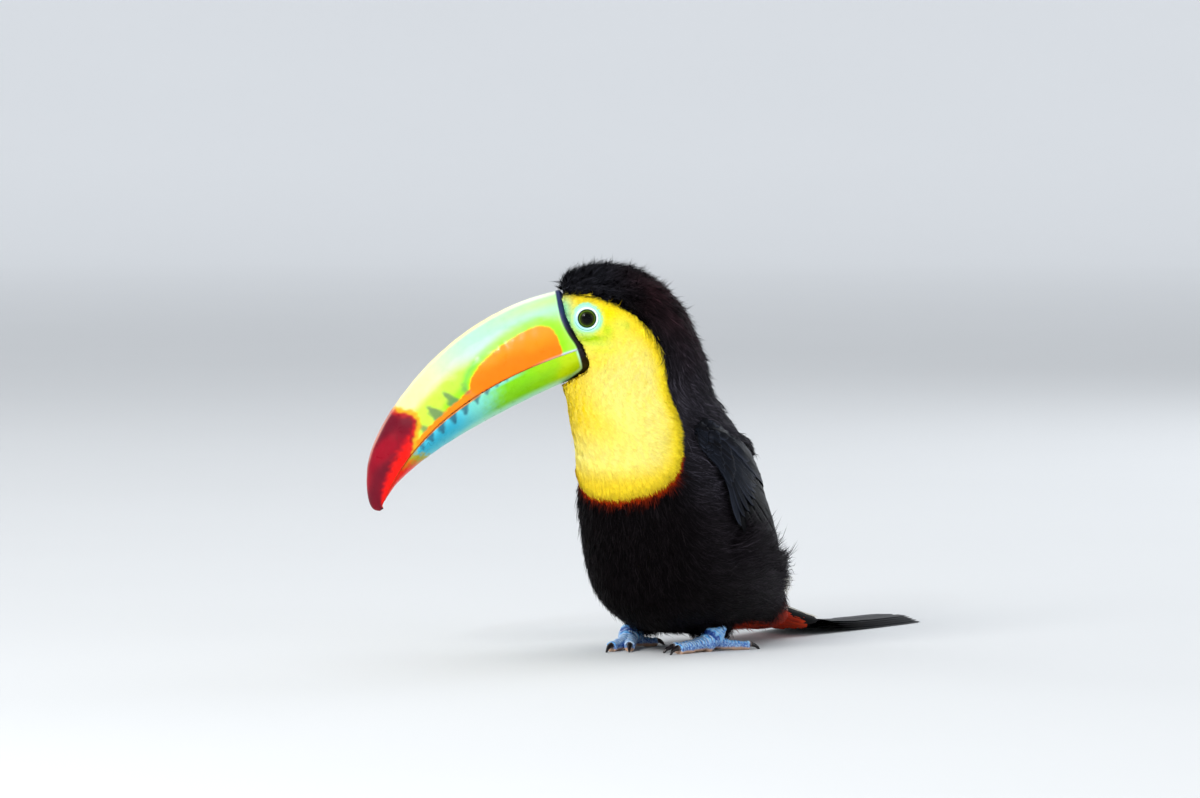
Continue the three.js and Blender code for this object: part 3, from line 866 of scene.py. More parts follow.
def region_of(profile):
    """The number of the coat region that each profile point lies in."""
    marks = markings(profile)
    forward, _, up = profile.T
    place, share = marks["place"], marks["share"]
    inside = marks["inside"] > 0
    checks = {
        "face": inside & (up + rng.normal(0, 3, len(up)) > 141),
        "bib": inside,
        "crest": place > 0.9,
        "crown": (place > 0.73) & (share > 0.2),
        "nape": (place > 0.5) & (share > 0.3),
        "vent": forward < -66,
        "thigh": leg_distance(profile) < THIGH_REACH,
        "back": (share > 0.8) & (place < 0.5),
        "belly": (share < 0.3) & (place < 0.34),
        "flank": (share < 0.8) & (place < 0.34),
        "breast": np.ones(len(profile), bool),
    }
    picks = [REGION_NAMES.index(name) for name in checks]
    return np.select(list(checks.values()), picks)


def unwrap(profile):
    """A place on an unrolled skin: round the body from the belly over the back, and along it."""
    place, share, _ = ring_place(profile)
    round_share = np.arccos(np.clip(2 * share - 1, -1, 1)) / np.pi
    across = 0.5 + 0.5 * np.sign(profile[:, 1]) * round_share
    return np.stack([across, place], 1)


def sample_roots(skin, hidden):
    """Random tuft roots over the skin, as dense as each region asks: points, normals, regions."""
    mesh = skin.data
    mesh.calc_loop_triangles()
    corners = values_of(mesh.loop_triangles, "vertices", 3, np.int32)
    points, normals = points_of(mesh), normals_of(mesh)
    a, b, c = (points[corners[:, k]] for k in range(3))
    area = np.linalg.norm(np.cross(b - a, c - a), axis=1) / 2 / MM**2
    region = region_of(to_profile((a + b + c) / 3))
    weight = area * np.array([REGIONS[name]["density"] for name in REGION_NAMES])[region]
    picks = rng.choice(len(corners), int(weight.sum()), p=weight / weight.sum())
    first, second = rng.random((2, len(picks), 1))
    flip = (first + second) > 1
    first, second = np.where(flip, 1 - first, first), np.where(flip, 1 - second, second)
    shares = (1 - first - second, first, second)
    roots = sum(share * points[corners[picks, k]] for k, share in enumerate(shares))
    ups = unit(sum(share * normals[corners[picks, k]] for k, share in enumerate(shares)))
    keep = ~hidden(roots, ups)
    return roots[keep], ups[keep], region[picks][keep]


def hidden_roots(roots, ups):
    """Roots where no tuft grows: on bare skin, behind the bill and under the folded wings."""
    profile = to_profile(roots)
    bare = eye_distance(profile) + rng.normal(0, 0.4, len(roots)) < BARE_RADIUS - 0.3
    bare &= profile[:, 2] > 140
    ahead = edge_distance(profile[:, [0, 2]], FEATHER_LINE)
    below_crest = profile[:, 2] < CREST_BASE
    beside_bill = below_crest & (profile[:, 2] > CHIN_TOP)
    behind_bill = (ahead > 0) & beside_bill | (ahead > 1.5) & below_crest
    behind_bill |= (ahead > -1.2) & (ups @ HEAD_FORWARD > 0.5) & beside_bill
    wings = tree_of(NODES["wing_left"].data, NODES["wing_right"].data)
    covered = np.array([
        wings.ray_cast(Vector(root), Vector(up), 12 * MM)[0] is not None
        for root, up in zip(roots, ups)
    ])
    covered &= past_wing_edge(profile) < -3
    return bare | behind_bill | covered


def hanging_paths(roots, ups, length):
    """Middle lines of tufts that leave the skin and hang towards the floor."""
    down = np.array([0, 0, -1.0])
    way = unit(0.35 * ups + 0.8 * down + 0.35 * lie_of_coat(roots) + rng.normal(0, 0.12, ups.shape))
    way[:, 2] = np.minimum(way[:, 2], -0.2)
    way = unit(way)
    room = (roots[:, 2] / MM - HANG_CLEARANCE) / -way[:, 2]
    reach = np.clip(length, 2, np.maximum(room, 2))[:, None]
    shares = np.arange(TUFT_STEPS + 1) / TUFT_STEPS
    points = [roots - ups * ROOT_DEPTH * MM + way * reach * share * MM for share in shares]
    return points, [way] * len(points), [ups] * len(points), np.ones(len(roots))


def crest_paths(roots, ups, length):
    """Middle lines of the stiff tufts over the bill's base: up and a little back, their tips
    leaning forward at the very front."""
    place = ring_place(to_profile(roots))[0]
    lean = mix(-0.6, 0.8, smoothstep(place, 0.9, 0.99))[:, None]
    up = np.array([0, 0, 1.0])
    way = unit(0.7 * ups + 0.55 * up + lean * HEAD_FORWARD + rng.normal(0, 0.13, ups.shape))
    shares = np.arange(TUFT_STEPS + 1) / TUFT_STEPS
    reach = (length * mix(0.8, 1, smoothstep(place, 1, 0.93)))[:, None]
    bow = HEAD_FORWARD * -0.18
    points = [roots + (-ups * 0.3 + (way * share + bow * share**2) * reach) * MM for share in shares]
    over = unit(ups - way * (ups * way).sum(1, keepdims=True))
    return points, [way] * len(points), [over] * len(points), np.ones(len(roots))


def vary_tufts(profile, name, length, rise):
    """Lengths and tip heights of a region's tufts by their places, which of them stand up, and how
    far their headings turn at the root and at each step."""
    stray = REGIONS[name]["stray"]
    place, share, _ = ring_place(profile)
    if name in ("face", "bib"):
        length *= 1 - 0.35 * smoothstep(place, 0.93, 0.99)
    if name == "bib":
        length *= mix(1, 0.6, smoothstep(profile[:, 2], 112, 140))
    count = len(profile)
    stand = np.zeros(count)
    if name == "flank":
        near_wing_tip = bell(place, 0.21, 0.035) * bell(share, 0.45, 0.12)
        stand = (rng.random(count) < 0.3 * near_wing_tip).astype(float)
        rise = mix(rise, 2.5 + 6 * rng.random(count) ** 1.6, stand)
        length *= 1 + 0.3 * stand
    if name in ("crown", "nape"):
        locks = mix(0.08, 0.24, smoothstep(place, 0.66, 0.8))
        stand = (rng.random(count) < locks).astype(float)
        rise += stand * rng.uniform(1, 3.6, count)
        rise *= mix(0.45, 1, smoothstep(place, 0.5, 0.62))
    turn = np.radians(rng.normal(0, stray, count))
    if name in ("crown", "nape"):
        over_face = smoothstep(edge_distance(profile[:, [0, 2]], BIB_EDGE), -7, -1)
        turn -= np.sign(profile[:, 1]) * FACE_OVERHANG * over_face
    bend = np.radians(rng.normal(0, stray * 0.5, count))
    return length, rise, stand, turn, bend


def grow_paths(roots, ups, name, tree):
    """Each tuft's middle line over the skin: points, headings and normals, step by step, and how
    wide it fans out, 1 for a tuft that lies down and less for one that stands."""
    settings = REGIONS[name]
    count = len(roots)
    profile = to_profile(roots)
    length = settings["length"] * rng.uniform(0.72, 1.15, count)
    spread = 0.12 + 0.22 * settings["unruly"]
    rise = coat_depth(profile) * settings["rise"] * (1 - rng.uniform(0, 2 * spread, count))
    if name == "thigh":
        return hanging_paths(roots, ups, length)
    if name == "crest":
        return crest_paths(roots, ups, length)
    length, rise, stand, turn, bend = vary_tufts(profile, name, length, rise)
    points = [roots - ups * ROOT_DEPTH * MM]
    base, normals = roots, ups
    heights = [np.zeros(count)]
    ways = []
    for step in range(1, TUFT_STEPS + 1):
        flow = lie_of_coat(base)
        flow = unit(flow - normals * (flow * normals).sum(1, keepdims=True))
        beside = np.cross(normals, flow)
        angle = (turn + bend * (step - 1))[:, None]
        way = flow * np.cos(angle) + beside * np.sin(angle)
        share = step / TUFT_STEPS
        heights.append(rise * mix(1 - (1 - share) ** settings["flat"], share**2, stand))
        climb = heights[-1] - heights[-2]
        reach = np.sqrt(np.maximum((length / TUFT_STEPS) ** 2 - climb**2, 0.15))
        ahead = base + way * reach[:, None] * MM
        if name in OVER_WINGS:
            base, hit = settle_outside(tree, ahead, normals)
            normals = unit(normals + hit)
        else:
            base, normals = settle(tree, ahead, 0)
        points.append(base + normals * heights[-1][:, None] * MM)
        ways.append(way)
    ways.append(ways[-1])
    return points, ways, [ups] + [normals] * TUFT_STEPS, 1 - 0.65 * stand


def tuft_paint(points, settings):
    """Colours of blades: those of the plumage, each tuft and each blade in a tone of its own, with
    painted shade at the roots and a few blades painted lighter as strand highlights.
    """
    count, blades = len(points[0]), settings["blades"]
    painted = UPRIGHT_STEPS if settings["flat"] < 1.5 else FLAT_STEPS
    plumage = [plumage_paint(to_profile(points[step])) for step in painted]
    plumage = np.stack([plumage[k] for k in BLADE_PATCHES], 1)[:, None]
    bright = smoothstep(plumage.max(-1, keepdims=True), 0.1, 0.4)
    tone = rng.uniform(0.88, 1.12, (count, 1, 1, 1)) * rng.uniform(0.84, 1.16, (count, blades, 1, 1))
    # Painted highlights: a few lighter blades, as sheen on single strands, more where the coat is unruly.
    painted_sheen_blades = 1 + (1 + 3 * settings["unruly"]) * rng.random((count, blades, 1, 1)) ** 4
    # Painted shade: each blade darker at its root, where other tufts lie over it, and lighter at its tip.
    painted_shading = mix(DARK_PAINTED_SHADE * painted_sheen_blades * tone, BRIGHT_PAINTED_SHADE * tone**0.5, bright)
    return plumage * painted_shading


def build_tufts(paths, settings, root_uv):
    """Blades fanned out over each tuft's middle line: points, colours, UV places and the ways
    that they face, which follow the skin so that the coat is shaded as one soft surface."""
    points, ways, normals, narrow = paths
    count, blades = len(points[0]), settings["blades"]
    unruly = settings["unruly"]
    slot = np.linspace(-1, 1, blades)[None] + rng.normal(0, 0.16, (count, blades))
    scale = 1 - 0.16 * slot**2 + rng.normal(0, 0.05 + 0.1 * unruly, (count, blades))
    roll = rng.normal(0, 0.12 + 0.3 * unruly, (count, blades))[..., None]
    lift = rng.normal(0, 0.05 + 0.15 * unruly, (count, blades))
    lift += (rng.random((count, blades)) < 0.05 * unruly) * rng.uniform(0.8, 2.6, (count, blades))
    low_spread, high_spread = settings["spread"]
    width = settings["blade"] * rng.uniform(0.8, 1.2, (count, blades))
    width = (width * (2.2 - 1.2 * narrow)[:, None])[..., None]
    corners = []
    facings = []
    for step in range(TUFT_STEPS + 1):
        share = step / TUFT_STEPS
        beside = np.cross(normals[step], ways[step])[:, None]
        facing = unit(normals[step][:, None] - beside * np.sin(roll) * FACING_ROLL)
        facings += [facing] * (1 if step == TUFT_STEPS else 2)
        middle = points[0][:, None] + (points[step] - points[0])[:, None] * scale[..., None]
        spread = mix(low_spread, high_spread * narrow, share**0.8)[:, None]
        middle = middle + beside * (slot * spread)[..., None] * MM
        middle = middle + normals[step][:, None] * (lift * share**1.6)[..., None] * MM
        if step == TUFT_STEPS:
            corners.append(middle)
        else:
            edge = beside * np.cos(roll) + normals[step][:, None] * np.sin(roll)
            half = edge * width * BLADE_PROFILES[settings["bends"]][step] * MM
            corners += [middle - half, middle + half]
    corners = np.stack(corners, 2)
    corners[..., 2] = np.maximum(corners[..., 2], FLOOR_CLEARANCE)
    paint = tuft_paint(points, settings)
    along = BLADE_ALONG / TUFT_STEPS * TUFT_PATCH
    across = (np.arange(blades)[:, None] + BLADE_ACROSS) / blades * TUFT_PATCH
    patch = np.stack([across, np.broadcast_to(along, across.shape)], -1)
    uv = root_uv[:, None, None] + patch[None]
    kept = BLADE_POINTS[settings["bends"]]
    return [values[:, :, kept] for values in (corners, paint, uv, np.stack(facings, 2))]


def blade_faces(bends):
    """Triangles of one blade: a pair of points at its root and at each bend, then its tip."""
    faces = []
    for low in range(0, 2 * bends, 2):
        faces += [(low, low + 3, low + 1), (low, low + 2, low + 3)]
    return np.array(faces + [(2 * bends, 2 * bends + 2, 2 * bends + 1)])


def blade_mesh(name, corners, paint, uv, facings):
    tufts, blades, points = corners.shape[:3]
    starts = np.arange(tufts * blades)[:, None, None] * points
    faces = (starts + blade_faces((points - 3) // 2)).reshape(-1, 3)
    piece = make_piece(name, corners.reshape(-1, 3), faces, paint.reshape(-1, 3), uv.reshape(-1, 2))
    piece.data.normals_split_custom_set_from_vertices(facings.reshape(-1, 3).tolist())
    return piece


def make_coat(skin, skin_tree):
    """Tufts over the whole skin, region by region, in pieces of a fair size."""
    roots, ups, regions = sample_roots(skin, hidden_roots)
    winged_tree = tree_of(skin.data, NODES["wing_left"].data, NODES["wing_right"].data)
    for number, (name, settings) in enumerate(REGIONS.items()):
        chosen = np.flatnonzero(regions == number)
        places = unwrap(to_profile(roots[chosen]))
        order = np.argsort(places[:, 0])
        chosen, places = chosen[order], places[order]
        tree = winged_tree if name in OVER_WINGS else skin_tree
        low, high = places.min(0), places.max(0)
        places = 0.01 + (places - low) / (high - low) * (0.98 - TUFT_PATCH)
        parts = math.ceil(len(chosen) * settings["blades"] / PIECE_BLADES)
        for part, rows in enumerate(np.array_split(np.arange(len(chosen)), parts)):
            picked = chosen[rows]
            paths = grow_paths(roots[picked], ups[picked], name, tree)
            piece = blade_mesh(f"coat_{name}_{part + 1}", *build_tufts(paths, settings, places[rows]))
            finish = "bright_plumage" if name in REGION_SLOTS else "black_plumage"
            finish_piece(piece, finish, REGION_SLOTS.get(name, "black_feathers"))


# ---------------------------------------------------------------- wing and tail feathers

CORE_SINK = 7  # ahead of the feathers' edge the wing's core goes under the coat by this
CORE_SHRINK = 0.6 * MM  # and it lies under them by this everywhere
CORE_VOXEL = 0.9 * MM
SPOTS_ALONG = 46
SPOTS_ACROSS = 25
ACROSS_LOW, ACROSS_HIGH = -0.1, 1.15  # the mapped stretch across the wing, 0 to 1 its own
VANE_ROWS = 26
VANE_COLUMNS = 11
VANE_ALONG = np.linspace(0, 1, VANE_ROWS)[:, None]
VANE_ACROSS = np.linspace(-1, 1, VANE_COLUMNS)[None]

# Rows of wing feathers from the undermost: how many; root of the first and of the last feather,
# then their tips, each as a place along the wing (0 at its bend, 1 at its tip) and across it (0 at
# its lower edge, 1 at its upper one); half width and height over the wing's surface, millimetres.
WING_ROWS = {
    "primaries": (8, (0.4, 0.04), (0.42, 0.5), (0.84, 0.04), (1.0, 0.6), 4.4, -0.7),
    "secondaries": (11, (0.22, 0.1), (0.24, 0.92), (0.66, 0.1), (0.9, 0.85), 4.2, -0.35),
    "tertials": (4, (0.2, 0.8), (0.18, 1.02), (0.86, 0.76), (0.8, 1.0), 5, 0),
    "great_coverts": (13, (0.12, 0.03), (0.1, 0.98), (0.36, 0.04), (0.42, 0.97), 3.6, 0.2),
    "middle_coverts": (13, (0.07, 0.03), (0.04, 0.99), (0.24, 0.04), (0.27, 0.98), 3.3, 0.5),
    "lesser_coverts": (14, (0.03, 0.02), (0, 0.99), (0.17, 0.03), (0.18, 0.98), 3, 0.75),
    "small_coverts": (13, (0, 0.02), (-0.05, 0.99), (0.1, 0.03), (0.11, 0.98), 2.8, 1.0),
    "scapulars": (8, (0, 1.08), (0.4, 1.05), (0.24, 1.02), (0.7, 0.96), 5.2, 0.7),
}


def wing_map(sign, tree):
    """A function that gives points of the wing's outside from places along and across it."""
    alongs = np.linspace(0, 1, SPOTS_ALONG)
    acrosses = np.linspace(ACROSS_LOW, ACROSS_HIGH, SPOTS_ACROSS)
    spots = np.empty((SPOTS_ALONG, SPOTS_ACROSS, 3))
    table = spline(WING_OUTLINE, alongs)
    rings = spline(RINGS, table[:, 0] / RING_STATIONS)
    for i, (row, ring) in enumerate(zip(table, rings)):
        belly, back, half = ring[0:2], ring[2:4], ring[4]
        middle, reach = (belly + back) / 2, (back - belly) / 2
        centre = np.array([middle[0], 0, middle[1]])
        for j, across in enumerate(acrosses):
            angle = math.radians(mix(row[2], row[1], across))
            level = reach * math.cos(angle)
            out = np.array([level[0], sign * half * math.sin(angle), level[1]])
            start, end = to_model(np.stack([centre + out * 1.6, centre]))
            spots[i, j] = tree.ray_cast(Vector(start), Vector(end - start))[0]

    def surface(along, across):
        along = np.clip(along, 0, 1) * (SPOTS_ALONG - 1)
        across = (np.clip(across, ACROSS_LOW, ACROSS_HIGH) - ACROSS_LOW) / (ACROSS_HIGH - ACROSS_LOW)
        across = across * (SPOTS_ACROSS - 1)
        i = np.minimum(along.astype(int), SPOTS_ALONG - 2)
        j = np.minimum(across.astype(int), SPOTS_ACROSS - 2)
        low = blend(spots[i, j], spots[i, j + 1], across - j)
        high = blend(spots[i + 1, j], spots[i + 1, j + 1], across - j)
        return blend(low, high, along - i)

    return surface


def vane_shape(half, point, asymmetry=0.75):
    """How far a vane reaches to each side of its shaft at each row and column, in millimetres.
    Its tip rounds off over the last share given by point, and its edges have small splits."""
    tip = (1 - np.clip((VANE_ALONG - 1 + point) / point, 0, 1) ** 2.3) ** 0.5
    widen = smoothstep(VANE_ALONG, -0.15, 0.25) * tip
    split = 1 - 0.22 * (rng.random((VANE_ROWS, 2)) > 0.9) * rng.random((VANE_ROWS, 2))
    edge = np.where(VANE_ACROSS < 0, split[:, :1] * asymmetry, split[:, 1:])
    return half * widen * VANE_ACROSS * edge


def vane_lift(height, tilt, round_over):
    """Height of a vane over what it lies on: its outer edge up, its inner edge tucked under."""
    shaft = 0.22 * bell(VANE_ACROSS, 0, 0.14) * smoothstep(VANE_ALONG, 1, 0.85)
    tucked = 0.7 * smoothstep(VANE_ALONG, 0.3, 0)
    over = height + 0.35 * VANE_ALONG - tilt * VANE_ACROSS - round_over * VANE_ACROSS**2
    return over + shaft - tucked


def lay_vane(line, beside, reach, lift, tree):
    """Points of a vane along a line over a surface; beside points towards its inner edge."""
    sweep = np.abs(reach) * 0.3 * smoothstep(np.linspace(1, 0, VANE_ROWS), 0, 0.4)[:, None]
    way = unit(np.gradient(line, axis=0))
    beside = unit(beside - way * (beside * way).sum(-1, keepdims=True))
    points = line[:, None] + (beside[:, None] * reach[..., None] + way[:, None] * sweep[..., None]) * MM
    placed, _ = settle(tree, points.reshape(-1, 3), lift.ravel() * MM)
    placed[:, 2] = np.maximum(placed[:, 2], FLOOR_CLEARANCE)
    return placed


def vane_paint(base, edge):
    """Colours of one vane: a darker shaft, a root darkened as painted shade under the feathers before it,
    edges towards the edge colour.
    """
    along, across = np.broadcast_arrays(VANE_ALONG, np.abs(VANE_ACROSS))
    # Edges and tip towards the edge colour, which on the black vanes is partly painted highlight.
    rim = np.maximum(smoothstep(across, 0.55, 0.95), smoothstep(along, 0.95, 0.995))
    paint = blend(base, edge, rim * rng.uniform(0.3, 1) * smoothstep(along, 0.2, 0.6))
    # Painted shade: the root darker, where the feathers before it cover it.
    shade = mix(0.5, 1.1, smoothstep(along, 0, 0.8)) * rng.uniform(0.75, 1.25)
    shade = shade * (1 - 0.35 * bell(across, 0, 0.12))
    return (paint * shade[..., None]).reshape(-1, 3)


def vane_piece(name, vanes, paints):
    """Joins vanes into one piece, with each point's place along and across its vane as barb."""
    faces = grid_faces(VANE_ROWS, VANE_COLUMNS)
    step = VANE_ROWS * VANE_COLUMNS
    joined = np.concatenate([faces + step * k for k in range(len(vanes))])
    along, across = (grid.ravel() for grid in np.broadcast_arrays(VANE_ALONG, VANE_ACROSS))
    barb = np.concatenate([
        np.stack([along, across, np.full(step, k)], 1) for k in range(len(vanes))
    ])
    tiles = math.ceil(len(vanes) ** 0.5)
    corner = np.stack([barb[:, 2] % tiles, barb[:, 2] // tiles], 1)
    uv = (corner + 0.05 + 0.9 * np.stack([barb[:, 0], (barb[:, 1] + 1) / 2], 1)) / tiles
    piece = make_piece(name, np.concatenate(vanes), joined, np.concatenate(paints), uv)
    layer = piece.data.attributes.new("barb", "FLOAT_VECTOR", "POINT")
    layer.data.foreach_set("vector", barb.astype(np.float32).ravel())
    return piece


def wing_row(row, surface, around):
    """The feathers of one row over the wing's surface: their points and colours."""
    count, *ends, half, height = row
    first_root, last_root, first_tip, last_tip = np.array(ends)
    shares = VANE_ALONG.ravel()
    covert = height > 0
    vanes = []
    paints = []
    for share in np.linspace(0, 1, count):
        root = mix(first_root, last_root, share)
        tip = mix(first_tip, last_tip, share) + rng.normal(0, (0.006, 0.004))
        along, across = mix(root[0], tip[0], shares), mix(root[1], tip[1], shares)
        beside = surface(along, across + 0.04) - surface(along, across - 0.04)
        reach = vane_shape(half * rng.uniform(0.94, 1.06), 0.3)
        lift = vane_lift(height + rng.uniform(-0.06, 0.06), 0.5, 0.5)
        vanes.append(lay_vane(surface(along, across), beside, reach, lift, around))
        # Coverts: black with painted bluish sheen.
        base = blend(BLACK, PAINTED_SHEEN_BLUE if covert else BLUE_BLACK, rng.uniform(0.2, 1))
        paints.append(vane_paint(base, COVERT_FRINGE_AND_HIGHLIGHT if covert else WING_FRINGE_AND_HIGHLIGHT))
    return vanes, paints


def make_wing(side, sign):
    """A dark core that keeps the wing closed, and rows of feathers over it."""
    node = f"wing_{side}"
    core = remeshed(f"wing_core_{side}", [node], CORE_VOXEL, 6, -CORE_SHRINK)
    profile = to_profile(points_of(core.data))
    profile[:, 1] -= sign * CORE_SINK * smoothstep(past_wing_edge(profile), -7, 3)
    set_points(core.data, to_model(profile))
    set_paint(core.data, np.tile(colour(BLACK), (len(core.data.vertices), 1)))
    finish_piece(core, "skin", "wing_feathers", node)
    around = tree_of(*(NODES[name].data for name in (node, "trunk", "rump", "neck")))
    surface = wing_map(sign, around)
    for name, row in WING_ROWS.items():
        vanes, paints = wing_row(row, surface, around)
        if sign < 0:
            vanes = [vane.reshape(VANE_ROWS, VANE_COLUMNS, 3)[:, ::-1].reshape(-1, 3) for vane in vanes]
        finish_piece(vane_piece(f"{name}_{side}", vanes, paints), "black_vanes", "wing_feathers")


# The closed tail: [forward, middle height, half width, half thickness], from its root.
TAIL_STATIONS = np.array([
    [-85.3, 12.6, 14, 6], [-100, 8.6, 16.5, 4.8], [-117, 5.2, 18.8, 3.6], [-134, 3.2, 20.8, 2.8],
    [-160, 1.9, 23, 2.1], [-190, 1.5, 24.5, 1.7], [-TAIL_REACH, 1.2, 24, 1.3],
])
TAIL_ROOT = -85.5
TAIL_FEATHERS = 10
TAIL_HALF = 8.6  # half width of one tail feather
TAIL_STEP = 2.6  # each pair is this much shorter than the next one inwards


def tail_section(forward):
    """Middle height, half width and half thickness of the tail at a forward place."""
    return [np.interp(-forward, -TAIL_STATIONS[:, 0], TAIL_STATIONS[:, k]) for k in (1, 2, 3)]


def make_tail():
    """Ten tail feathers, the middle pair uppermost and longest, each sloping off to its sides."""
    vanes = []
    paints = []
    middle = (TAIL_FEATHERS - 1) / 2
    for k in range(TAIL_FEATHERS):
        rank = abs(k - middle) - 0.5
        place = (k - middle) / middle
        forward = np.linspace(TAIL_ROOT, -TAIL_REACH + TAIL_STEP * rank, VANE_ROWS)[:, None]
        height, width, thick = tail_section(forward)
        widening = mix(0.75, 1, smoothstep(-forward, 85, 130))
        reach = vane_shape(TAIL_HALF, 0.1, 1) * widening
        side = place * (width - TAIL_HALF * widening) + reach
        lift = vane_lift(0, -0.25 * np.sign(place), 0.3) - 0.35
        up = height + thick * (0.7 - 0.32 * rank) + lift
        side, up = np.broadcast_arrays(side, up)
        forward = np.broadcast_to(forward, side.shape) - 0.3 * np.abs(reach)
        profile = np.stack([forward, side, np.maximum(up, FLOOR_CLEARANCE / MM)], -1)
        vanes.append(to_model(profile.reshape(-1, 3)))
        # Edges partly pale fringes, partly painted highlight.
        paints.append(vane_paint(BLACK, WING_FRINGE_AND_HIGHLIGHT))
    return finish_piece(vane_piece("tail_vanes", vanes, paints), "black_vanes", "tail_feathers", "tail")


COVERT_HALF = 4.2  # half width of one covert
# Coverts round the tail's root: [name, how many in a row, first and last angle off the back,
# forward places of roots and tips, colours of middle and edge].
TAIL_COVERTS = [
    ("side_left", 7, 52, 100, -80, -104, "#080607", "#14100e"),
    ("side_right", 7, 260, 308, -80, -104, "#080607", "#14100e"),
    ("vent_inner", 17, 104, 256, -80, -102, "#b83008", "#cf4416"),
    ("vent_outer", 17, 100, 260, -66, -92, "#9c2205", "#d04414"),
    ("white_inner", 10, -50, 50, -82, -114, "#d9d2c4", "#fbf8f0"),
    ("white_outer", 12, -58, 58, -70, -100, "#d9d2c4", "#fbf8f0"),
]


def make_tail_coverts():
    """Loose coverts, red below, black at the sides and white above, over the tail's root."""
    around = tree_of(*(NODES[name].data for name in ("rump", "tail", "trunk")))
    shares = VANE_ALONG.ravel()
    for name, count, first, last, start, end, middle, edge in TAIL_COVERTS:
        vanes = []
        paints = []
        for degrees in np.linspace(first, last, count):
            angle = math.radians(degrees + rng.normal(0, 2))
            sin, cos = math.sin(angle), math.cos(angle)
            forward = mix(start, end + rng.uniform(-5, 5), shares)
            height, width, thick = tail_section(forward)
            swell = mix(1.5, 1, smoothstep(-forward, 66, 88))
            line = np.stack([forward, width * swell * sin, height + thick * swell * cos], 1)
            beside = np.tile([cos, 0, -sin], (VANE_ROWS, 1))
            lift = vane_lift(0.4, 0.1, 0.5)
            reach = vane_shape(COVERT_HALF, 0.6, 1)
            vanes.append(lay_vane(to_model(line), beside, reach, lift, around))
            paints.append(vane_paint(middle, edge))
        finish_piece(vane_piece(f"coverts_{name}", vanes, paints), "covert_vanes", "tail_feathers")


# ---------------------------------------------------------------- bill

# Outlines in profile [forward, up], from inside the head to the tip.
BILL_START = 50
CULMEN = [
    [BILL_START, 182.5], [70, 179.8], [91, 172.8], [113, 160.2], [133, 142.8],
    [151, 120], [160.6, 100.5], [162.8, 87], [161.9, 76.5], [159.6, 71.6], [155.4, 70.4],
]
TOMIUM = [[BILL_START, 154], [58.3, 151.2], [121.5, 130.5], [143.8, 99.6], [155, 73.2]]
LOWER_BILL_REACH = 0.972  # the lower half ends this far along the cutting edge
GONYS = [[BILL_START, 141.5], [65.7, 134.3], [102.7, 117.5], [143.6, 95.2], [153.4, 76]]
BILL_HALF_WIDTH = 18
BILL_LENGTH = 166  # along the ridge, for turning shares into lengths
BILL_HEIGHT = 26
BILL_ROWS = 400
PALATE_COLUMNS = 9  # points across the inner face of each half
TOMIUM_GAP = -0.15  # between the two cutting edges; below 0 they just meet
SERRATIONS = 52
BAND_WIDTH = 1.9  # of the black band at the bill's base
BAND_SWELL = 0.3  # how far it stands out
HORN_TUCK = 2.4  # how far the horn draws in under the feathers
KEEL = {"upper": 0.12, "lower": 0.1}  # how far the sides draw in towards the ridge


def evenly(line):
    """A function that gives the point at a share of a line's length."""
    steps = np.linalg.norm(np.diff(line, axis=0), axis=1)
    reach = np.concatenate([[0], np.cumsum(steps)])
    reach /= reach[-1]
    return lambda share: np.stack([np.interp(share, reach, line[:, k]) for k in (0, 1)], -1)


def bill_edge(points):
    """A straight run inside the head, then one smooth curve to the tip."""
    start, a, b, c, d = np.array(points, float)
    t = np.linspace(0, 1, 200)[:, None]
    curve = (1 - t) ** 3 * a + 3 * (1 - t) ** 2 * t * b + 3 * (1 - t) * t**2 * c + t**3 * d
    straight = start + (a - start) * np.linspace(0, 1, 30, endpoint=False)[:, None]
    return evenly(np.vstack([straight, curve]))


RIDGES = {
    "upper": evenly(spline(CULMEN, np.linspace(0, 1, 300))),
    "lower": bill_edge(GONYS),
}
TOMIUM_LINE = bill_edge(TOMIUM)


def bill_half_width(share):
    """Half the bill's width at a share of its length."""
    return BILL_HALF_WIDTH * (1 - 0.3 * share) * (1 - share**3.2) ** 0.55 + 0.8


def serration(share, half):
    """Small forward-leaning notches along the cutting edge, in millimetres."""
    saw = (share * SERRATIONS + (0.4 if half == "lower" else 0)) % 1
    reach = smoothstep(share, 0.25, 0.4) * smoothstep(share, 0.96, 0.88)
    depth = 0.28 + 0.14 * np.sin(share * 91)
    return depth * reach * smoothstep(saw, 0, 0.8) * smoothstep(saw, 1, 0.85)


def bill_ring_columns(count):
    """Angles over the arch from one cutting edge to the other, closest at the edges."""
    place = np.linspace(-1, 1, count)
    return np.sign(place) * (1 - (1 - np.abs(place)) ** 1.18) * np.pi / 2


def rounded_tip(grid, shares, heights):
    """Closes the bill's tip in a few shrinking rings."""
    centre = grid[-1].mean(0)
    ahead = unit(grid[-1].mean(0) - grid[-8].mean(0))
    caps = []
    for turn in np.linspace(15, 88, 7) * np.pi / 180:
        caps.append(centre + (grid[-1] - centre) * np.cos(turn) + ahead * 0.9 * np.sin(turn))
    grid = np.concatenate([grid, np.stack(caps)])
    shares = np.concatenate([shares, np.ones((len(caps), shares.shape[1]))])
    heights = np.concatenate([heights, np.repeat(heights[-1:], len(caps), 0)])
    return grid, shares, heights


